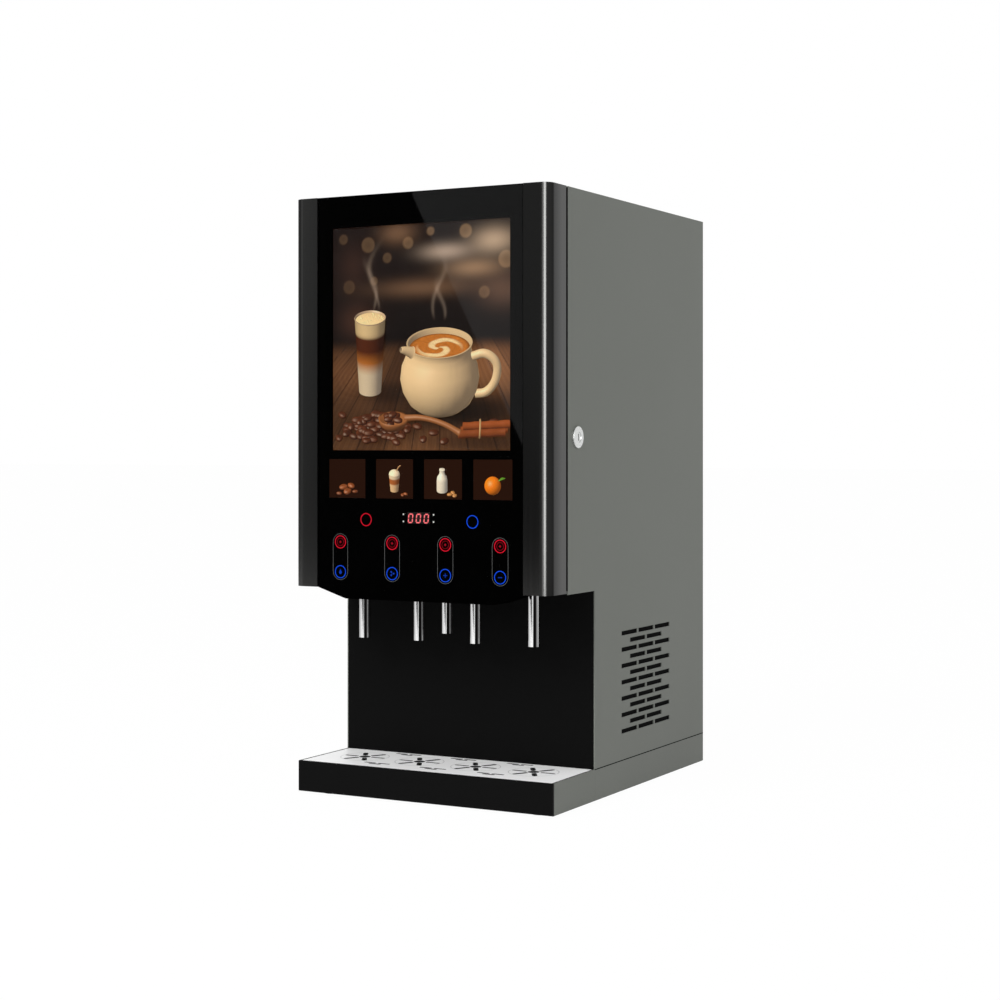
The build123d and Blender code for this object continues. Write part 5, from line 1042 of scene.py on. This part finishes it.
backScrews = {"plane": 206.5, "side": 160.0, "levels": (62, 190, 318, 446, 574, 690),
              "rows": (50.0, 693.0), "across": (-96, -32, 96), "radius": 3.4}
places = [(side * backScrews["side"], backScrews["plane"], z)
          for side in (-1, 1) for z in backScrews["levels"]]
places += [(x, backScrews["plane"], z) for x in backScrews["across"] for z in backScrews["rows"]]
screws("back_panel_screws", places, (0, 1, 0), backScrews["radius"], blackScrew, "cabinet")
screws("inlet_plate_screws", [(-112 + side * 20.5, 209.0, z) for side in (-1, 1) for z in (59.5, 124.5)],
       (0, 1, 0), 2.4, screwSteel, "cabinet")
screws("board_screws", [(x, 195.7, z) for x in (-73, 73) for z in (547, 663)], (0, -1, 0), 2.8,
       screwSteel, "cabinet")
screws("cover_screws", [(x, -177.5, z) for x in (-140, 140) for z in (262, 330, 520, 610, 690)]
       + [(x, -177.5, z) for x in (-70, 0, 70) for z in (254, 697)], (0, 1, 0), 2.6, screwSteel, "door")

# Seals: the door's gasket fills the gap to the cabinet in matt black, as painted shade of that gap, and a
# dark strip of painted shade closes the seam on the base
gasket = {"outer": 168.9, "left": -150.0, "low": 250.0, "high": 702.4, "width": 7.0,
          "front": -177.45, "back": -174.6,
          "gapShadeAcross": (168.7, 169.06), "gapShadeDepth": (-178.6, -177.4), "gapShadeInset": 0.5}
rubberAndGapShade = mouldedPlastic("seal rubber and gap shade", tint(5, 5, 5), 0.75, 500.0, 0.2, Specular_IOR_Level=0.0)
sealShape = Shape()
left, right, low, high = (gasket[key] for key in ("left", "outer", "low", "high"))


def frameRing(inset, y):
    return [(left + inset, y, low + inset), (right - inset, y, low + inset),
            (right - inset, y, high - inset), (left + inset, y, high - inset)]


sealShape.rings([frameRing(inset, y) for inset, y in
                 ((0, gasket["front"]), (0, gasket["back"]), (gasket["width"], gasket["back"]),
                  (gasket["width"], gasket["front"]))], closed=True)
# a thin black strip of painted shade for the gap laps the rear edge of the right profile
sealShape.prism(rectangle(*gasket["gapShadeAcross"], *gasket["gapShadeDepth"]), "z",
                low + gasket["gapShadeInset"], high - gasket["gapShadeInset"])
sealShape.piece("door_gasket_gap_shade", rubberAndGapShade, "door")
# the base seam: a dark strip of painted shade along the groove between base and side
baseSeamShade = {"across": (168.6, 169.06), "depth": (-104.8, 220.3), "levels": (39.4, 40.5)}
seam = Shape()
for side in (-1, 1):
    inner, outer = (side * x for x in baseSeamShade["across"])
    seam.prism(rectangle(inner, outer, *baseSeamShade["depth"]), "z", *baseSeamShade["levels"])
seam.piece("base_seam_shade", rubberAndGapShade, "cabinet")

# Dust filters of open black foam inside the side vents, which also stand as painted shade behind the slots
filterFoamShade, _ = foamBlock("filter foam and vent shade", tint(7, 7, 7), 0.95, 700.0, 0.7, Specular_IOR_Level=0.05)
filters = Shape()
for side in (-1, 1):
    low, high = sorted((side * 166.0, side * 167.7))
    filters.prism([(-31, 68), (110, 68), (113, 71), (113, 193), (110, 196), (-31, 196), (-34, 193),
                   (-34, 71)], "x", low, high)
filters.piece("vent_filters_and_shade", filterFoamShade, "cabinet")

# Tray grille: a fine pressed line round each star of slots, then the rims of the slots
outlets = {"columns": (-114.0, -38.0, 38.0, 114.0), "y": -151.5, "top": 246.0, "radius": 6.8}
pressedLine = newFinish("pressed line", tint(205, 205, 205), 0.4, Metallic=0.3)
addWear(pressedLine, noise(pressedLine, 80.0, 2.0), 0.35, 0.5)
lines = Shape()
for x in outlets["columns"]:
    lines.rings([[(a, b, z) for a, b in circle(r, 64, x, outlets["y"])]
                 for r, z in ((28.6, 40.0), (28.9, 40.06), (29.3, 40.06), (29.6, 40.0))])
lines.piece("grille_lines", pressedLine, "grille", smooth=True)
# dark bands round the slots, painted shade of the holes, and a dark strip of painted shade along the plate's
# side edges
slotRimShade = mouldedPlastic("slot rim shade", tint(14, 14, 14), 0.6, 400.0, 0.1, Specular_IOR_Level=0.1)
faintRim = mouldedPlastic("faint rim shade", tint(105, 105, 105), 0.6, 400.0, 0.1, Specular_IOR_Level=0.1)
punched = {"hole": 6.0, "reach": (9.5, 27.0), "width": 3.4, "drainLength": 15.0, "drainWidth": 3.0,
           "pitch": 19.0, "row": 36.0, "step": 2.6, "rim": 1.2, "faintRim": 0.6, "holeRim": 0.8,
           "face": 40.0, "top": 40.05, "edgeShadeAcross": (165.9, 167.1), "edgeShadeDepth": (-208.0, -105.8)}
boldRims, faintRims = Shape(), Shape()


def addRim(shape, x, y, length, width, angle, rim):
    # a flat band round a slot with round ends
    count = 10
    rings = []
    for extra, level in ((0.0, punched["face"]), (0.1, punched["top"]), (rim, punched["top"]),
                         (rim + 0.1, punched["face"])):
        radius, half = width / 2 + extra, (length - width) / 2
        outline = []
        for end in (0, 1):
            for i in range(count + 1):
                t = -math.pi / 2 + math.pi * end + math.pi * i / count
                outline.append(((half if end == 0 else -half) + radius * math.cos(t), radius * math.sin(t)))
        rings.append([(x + u * math.cos(angle) - v * math.sin(angle),
                       y + u * math.sin(angle) + v * math.cos(angle), level) for u, v in outline])
    shape.rings(rings)


for x in outlets["columns"]:
    inner, outer = punched["reach"]
    for turn in range(6):
        angle = turn * math.pi / 3
        shape = faintRims if turn % 3 == 0 else boldRims
        middle = (inner + outer) / 2
        addRim(shape, x + middle * math.cos(angle), outlets["y"] + middle * math.sin(angle), outer - inner,
               punched["width"], angle, punched["rim"] if shape is boldRims else punched["faintRim"])
    across = 2 * punched["hole"]
    addRim(boldRims, x, outlets["y"], across + 0.02, across, 0.0, punched["holeRim"])
for x in (-76.0, 0.0, 76.0):
    for side in (-1, 1):
        rowY = outlets["y"] + side * punched["row"]
        for shift, step in ((-0.5, 1), (0.5, 1), (0.0, -1)):
            addRim(faintRims, x + shift * punched["pitch"], rowY + step * punched["step"],
                   punched["drainLength"], punched["drainWidth"], 0.0, punched["faintRim"])
# dark strips of painted shade along the plate's side edges
for side in (-1, 1):
    inner, outer = (side * x for x in punched["edgeShadeAcross"])
    boldRims.prism(rectangle(inner, outer, *punched["edgeShadeDepth"]), "z", punched["face"], punched["top"])
boldRims.piece("slot_rims", slotRimShade, "grille")
faintRims.piece("slot_rim_shade_faint", faintRim, "grille")

# collars of the outlet tubes, a broad flange over a narrow one
collars = Shape()
for x in (*outlets["columns"], 0.0):
    r = outlets["radius"]
    for low, high, thick in ((-1.6, 0.0, 3.4), (-3.2, -1.6, 1.6)):
        collars.rings([[(a, b, outlets["top"] + level) for a, b in circle(radius, 32, x, outlets["y"])]
                       for radius, level in ((r + 0.1, low), (r + thick, low), (r + thick, high),
                                             (r + 0.1, high))], closed=True)
collars.piece("outlet_collars", rubberAndGapShade, "cabinet")

# Guard over the exhaust: wire rings on four spokes
guard = {"centre": (62.0, 104.0), "plane": 208.2, "rings": (10, 18, 26, 34, 42), "wire": 0.9,
         "screwPlane": 206.5, "screwReach": 53.5}
guardWire = brushedMetal("guard wire", (0.55, 0.55, 0.56), 0.25, (4, 4, 4), 0.03)
guardShape = Shape()
gx, gz = guard["centre"]
for radius in guard["rings"]:
    guardShape.tube([(a, guard["plane"], b) for a, b in circle(radius, 48, gx, gz)], guard["wire"], 8,
                    closed=True)
for quarter in range(4):
    t = math.pi / 4 + quarter * math.pi / 2
    ux, uz = math.cos(t), math.sin(t)
    guardShape.tube([(gx + r * ux, guard["plane"] - (1.6 if r < 50 else 0.0) + 2.6 * (r < 44), gz + r * uz)
                     for r in (8, 20, 32, 43, 46, 52)], guard["wire"], 8)
guardShape.piece("exhaust_guard", guardWire, "cabinet", smooth=True)
screws("guard_screws", [(gx + guard["screwReach"] * math.cos(t), guard["screwPlane"],
                         gz + guard["screwReach"] * math.sin(t))
                        for t in (math.pi / 4 + quarter * math.pi / 2 for quarter in range(4))],
       (0, 1, 0), 3.0, screwSteel, "cabinet")
print("screws, seals, filters and guard")

# Wiring: bundles of coloured leads from the board to the motors, heater, valves and fan
leadFinishes = {name: mouldedPlastic("lead " + name, colour, 0.45, 300.0, 0.05) for name, colour in
                {"red": tint(176, 28, 24), "blue": tint(30, 66, 150),
                 "black": tint(20, 20, 20), "white": tint(214, 214, 208), "green": tint(40, 120, 60)}.items()}
leadShapes = {name: Shape() for name in leadFinishes}


def leads(colours, spacing, points, radius=0.85):
    # leads side by side along one route
    for twin, colour in enumerate(colours):
        route = [(x + spacing * twin, y, z) for x, y, z in points]
        leadShapes[colour].tube(eased(route), radius, 7)


for column, x in enumerate(outlets["columns"]):
    start = 4 + 12 * column
    leads(("red", "black"), 2.2, [(start, 186, 549), (start, 186, 532), (start, 176, 520), (x, 168, 505),
                                  (x, 160, 482), (x, 152, 466), (x, 145.8, 462)])
    leads(("blue", "white"), 2.2, [(start + 6, 190, 549), (start + 6, 190, 528), (x * 0.9, 192, 500),
                                   (x * 0.9, 190, 440), (x * 0.9, 172, 413), (x, 120, 411.5),
                                   (x, 20, 411.5), (x, 2, 404), (x, -2, 372), (x, -8.5, 352)])
leads(("red", "blue", "green"), 3.0, [(-60, 180, 566), (-64, 178, 540), (-76, 176, 480), (-84, 168, 430),
                                      (-88, 130, 414), (-87, 96, 411), (-85, 80, 408)], 1.2)
leads(("red", "blue", "green"), 3.0, [(-70, 184, 566), (-96, 190, 530), (-140, 196, 470), (-150, 197, 300),
                                      (-150, 196, 200), (-128, 190, 150), (-118, 184, 118)], 1.2)
leads(("red", "black"), 2.4, [(62, 190, 549), (84, 194, 520), (138, 198, 470), (146, 198, 320),
                              (140, 196, 190), (116, 192, 156), (104, 190, 148)])
for colour, shape in leadShapes.items():
    shape.piece("leads_" + colour, leadFinishes[colour], "cabinet", smooth=True)

# ties round the bundles, with their heads
ties = Shape()
tiePlaces = ((-149, 197, 300, 7.0), (-149, 197, 400, 7.0), (147, 198, 340, 5.0), (147, 198, 430, 5.0))
for x, y, z, radius in tiePlaces:
    ties.tube([(a, b, z) for a, b in circle(radius, 24, x, y)], 0.8, 6, closed=True)
    ties.block((x - 2, y - radius - 3.2, z - 1.6), (x + 2, y - radius + 0.4, z + 1.6), 0.5)
ties.piece("cable_ties", leadFinishes["black"], "cabinet")

# Board parts over the solid ones: can tops, terminal screws and a row of chips
boardParts, boardSteel, chips = Shape(), Shape(), Shape()
for x in (16, 46):
    boardSteel.lathe([(8.2, 0), (8.2, 0.3), (7.6, 0.5), (0.01, 0.45)], (x, 173.7, 589), (0, -1, 0), 32)
for i in range(8):
    x = -6 + 9.6 * i
    boardSteel.lathe([(2.6, 0), (2.6, 0.5), (2.1, 0.8), (0.01, 0.8)], (x, 183.7, 555), (0, -1, 0), 16)
    for side in (-1, 1):
        boardSteel.block((x + side * 1.2 - 0.3, 182.8, 552.8), (x + side * 1.2 + 0.3, 183.0, 557.2), 0.1)
for x, z, wide, high in ((-22, 612, 16, 9), (10, 614, 22, 9), (40, 612, 12, 12), (-60, 620, 10, 8),
                         (62, 616, 10, 7)):
    chips.block((x - wide / 2, 193.4, z - high / 2), (x + wide / 2, 195.6, z + high / 2), 0.3)
    pins = int(wide / 1.6)
    for i in range(pins):
        px = x - wide / 2 + (i + 0.5) * wide / pins
        for side in (-1, 1):
            edge = z + side * (high / 2 + 0.7)
            boardSteel.block((px - 0.25, 194.9, edge - 0.7), (px + 0.25, 195.6, edge + 0.7), 0.1)
for i in range(14):
    x = -66 + 10.0 * i
    boardParts.block((x - 1.6, 194.6, 598.6), (x + 1.6, 195.65, 600.2), 0.2)
boardSteel.piece("board_metal_parts", screwSteel, "cabinet")
chips.piece("board_chips", blackScrew, "cabinet")
smallPartTan = mouldedPlastic("small parts", tint(150, 120, 80), 0.5)
boardParts.piece("board_small_parts", smallPartTan, "cabinet")

# The heater's three terminals, on a ring
terminals = Shape()
heater = {"centre": (-84, 75), "top": 406.8, "reach": 7}
for turn in range(3):
    t = math.radians(90 + 120 * turn)
    place = (heater["centre"][0] + heater["reach"] * math.cos(t),
             heater["centre"][1] + heater["reach"] * math.sin(t), heater["top"])
    terminals.lathe([(2.2, 0), (2.2, 1.0), (1.4, 1.4), (1.4, 3.2), (0.01, 3.4)], place, (0, 0, 1), 16)
terminals.piece("heater_terminals", screwSteel, "cabinet")
print("wiring and board parts")

# Stage: pale floor, soft light, cards that only gloss sees, and the camera
stageTones = {"floor": (0.90, 0.90, 0.90), "worldDiffuse": 0.46, "floorShown": 0.985}


def seenDirectly(finish):
    # 1 for rays of the camera and those that gloss or glass sends on, 0 for the light of the room
    rays = addNode(finish, "ShaderNodeLightPath")
    value = rays.outputs["Is Camera Ray"]
    for kind in ("Is Glossy Ray", "Is Transmission Ray"):
        value = mathStep(finish, "MAXIMUM", value, rays.outputs[kind])
    return value


floorPaint = newFinish("studio floor", stageTones["floor"], 0.9)
whiteGlow = addNode(floorPaint, "ShaderNodeEmission")
floorMix = addNode(floorPaint, "ShaderNodeMixShader")
join(floorPaint, mathStep(floorPaint, "MULTIPLY", seenDirectly(floorPaint), stageTones["floorShown"]),
     floorMix.inputs["Fac"])
join(floorPaint, floorPaint.node_tree.nodes["Principled BSDF"].outputs["BSDF"], floorMix.inputs[1])
join(floorPaint, whiteGlow.outputs["Emission"], floorMix.inputs[2])
finishWith(floorPaint, floorMix.outputs["Shader"])
floorSize = 30000.0
floor = newPiece("floor", [(-floorSize, -floorSize, 0), (floorSize, -floorSize, 0),
                           (floorSize, floorSize, 0), (-floorSize, floorSize, 0)],
                 [(0, 1, 2, 3)], floorPaint, None)

world = bpy.data.worlds.new("studio")
bpy.context.scene.world = world
world.use_nodes = True
background = world.node_tree.nodes["Background"]
background.inputs["Color"].default_value = (1, 1, 1, 1)
join(world, spread(world, seenDirectly(world), stageTones["worldDiffuse"], 1.0, 0.0, 1.0),
     background.inputs["Strength"])


def addCard(name, corners, level, levelHigh=None, high=1.0):
    # a studio card that only glossy surfaces see; levelHigh is its light at that height
    card = newMaterial(name)
    card.node_tree.nodes.remove(card.node_tree.nodes["Principled BSDF"])
    glow = addNode(card, "ShaderNodeEmission")
    if levelHigh is None:
        glow.inputs["Color"].default_value = (level, level, level, 1)
    else:
        height = onAxis(card, placed(card), "Z")
        join(card, spread(card, height, level, levelHigh, 0.0, high), glow.inputs["Strength"])
    finishWith(card, glow.outputs["Emission"])
    panel = newPiece(name, corners, [tuple(range(len(corners)))], card, None)
    panel.visible_camera = False
    panel.visible_diffuse = False
    panel.visible_transmission = False
    panel.visible_shadow = False
    return panel


# The glass mirrors the dark card, and a grey one whose slanting edge crosses the door from its
# top middle to its right side. The bright card draws the highlight down the right profile, and
# the low side card lights the outlet tubes from the right.
cards = {"darkAway": -2260.0, "greyAway": -2200.0, "farLeft": -3200, "darkLeft": -1504, "top": 3200,
         "edgeTop": (-1202.0, 1008.0), "edgeLow": (-899.0, 398.0),
         "dark": 0.004, "grey": 0.135, "leftLow": 0.17, "leftHigh": 0.44, "bright": 6.0, "side": 0.5}


def edgeAt(level):
    (x1, z1), (x2, z2) = cards["edgeTop"], cards["edgeLow"]
    return x1 + (x2 - x1) * (level - z1) / (z2 - z1)


def standing(x1, y1, x2, y2, low, high):
    # an upright card between two places on the floor
    return [(x1, y1, low), (x2, y2, low), (x2, y2, high), (x1, y1, high)]


def aroundSpouts(angle, away=1000.0):
    # a place on the floor round the outlets; 0 is straight ahead and 90 to the right
    return away * math.sin(math.radians(angle)), -150 - away * math.cos(math.radians(angle))


darkAway, farLeft, darkLeft = cards["darkAway"], cards["farLeft"], cards["darkLeft"]
darkCard = addCard("dark_card", standing(darkLeft, darkAway, 200, darkAway, 0, cards["top"]), cards["dark"])
leftCard = addCard("left_card", standing(farLeft, darkAway, darkLeft, darkAway, 0, cards["top"]),
                   cards["leftLow"], cards["leftHigh"])
awayCard = addCard("far_left_card", standing(farLeft, darkAway, farLeft, 2600, 0, cards["top"]),
                   cards["leftLow"])
greyCard = addCard("grey_card", [(edgeAt(3000), cards["greyAway"], 3000), (edgeAt(0), cards["greyAway"], 0),
                                 (160, cards["greyAway"], 0), (160, cards["greyAway"], 3000)], cards["grey"])
brightCard = addCard("bright_card", standing(870, -2200, 1960, -2200, 60, 2600), cards["bright"])
sideCard = addCard("side_card", standing(*aroundSpouts(60), *aroundSpouts(125), 1, 190), cards["side"])


def addLamp(name, place, target, size, power):
    lamp = bpy.data.lights.new(name, "AREA")
    lamp.shape = "RECTANGLE"
    lamp.size, lamp.size_y = size
    lamp.energy = power
    holder = bpy.data.objects.new(name, lamp)
    holder.location = place
    holder.rotation_euler = (Vector(target) - Vector(place)).to_track_quat("-Z", "Y").to_euler()
    holder.visible_glossy = False
    bpy.context.scene.collection.objects.link(holder)


addLamp("rear right soft box", (3.2, 1.6, 1.6), (0.1, 0.1, 0.4), (1.6, 1.6), 20.0)
addLamp("front soft box", (-0.6, -3.0, 2.6), (0.0, 0.0, 0.3), (1.8, 1.8), 150.0)

cameraSettings = {"place": (1.1278, -2.1067, 0.4141), "heading": 28.41, "lens": 69.3, "shift": -0.0551}
lensData = bpy.data.cameras.new("front right view")
lensData.lens = cameraSettings["lens"]
lensData.sensor_width = 36.0
lensData.shift_y = cameraSettings["shift"]
camera = bpy.data.objects.new("front right view", lensData)
camera.location = cameraSettings["place"]
camera.rotation_euler = (math.radians(90), 0, math.radians(cameraSettings["heading"]))
bpy.context.scene.collection.objects.link(camera)
bpy.context.scene.camera = camera
bpy.context.scene.view_settings.view_transform = "Standard"
print("stage, light and camera")
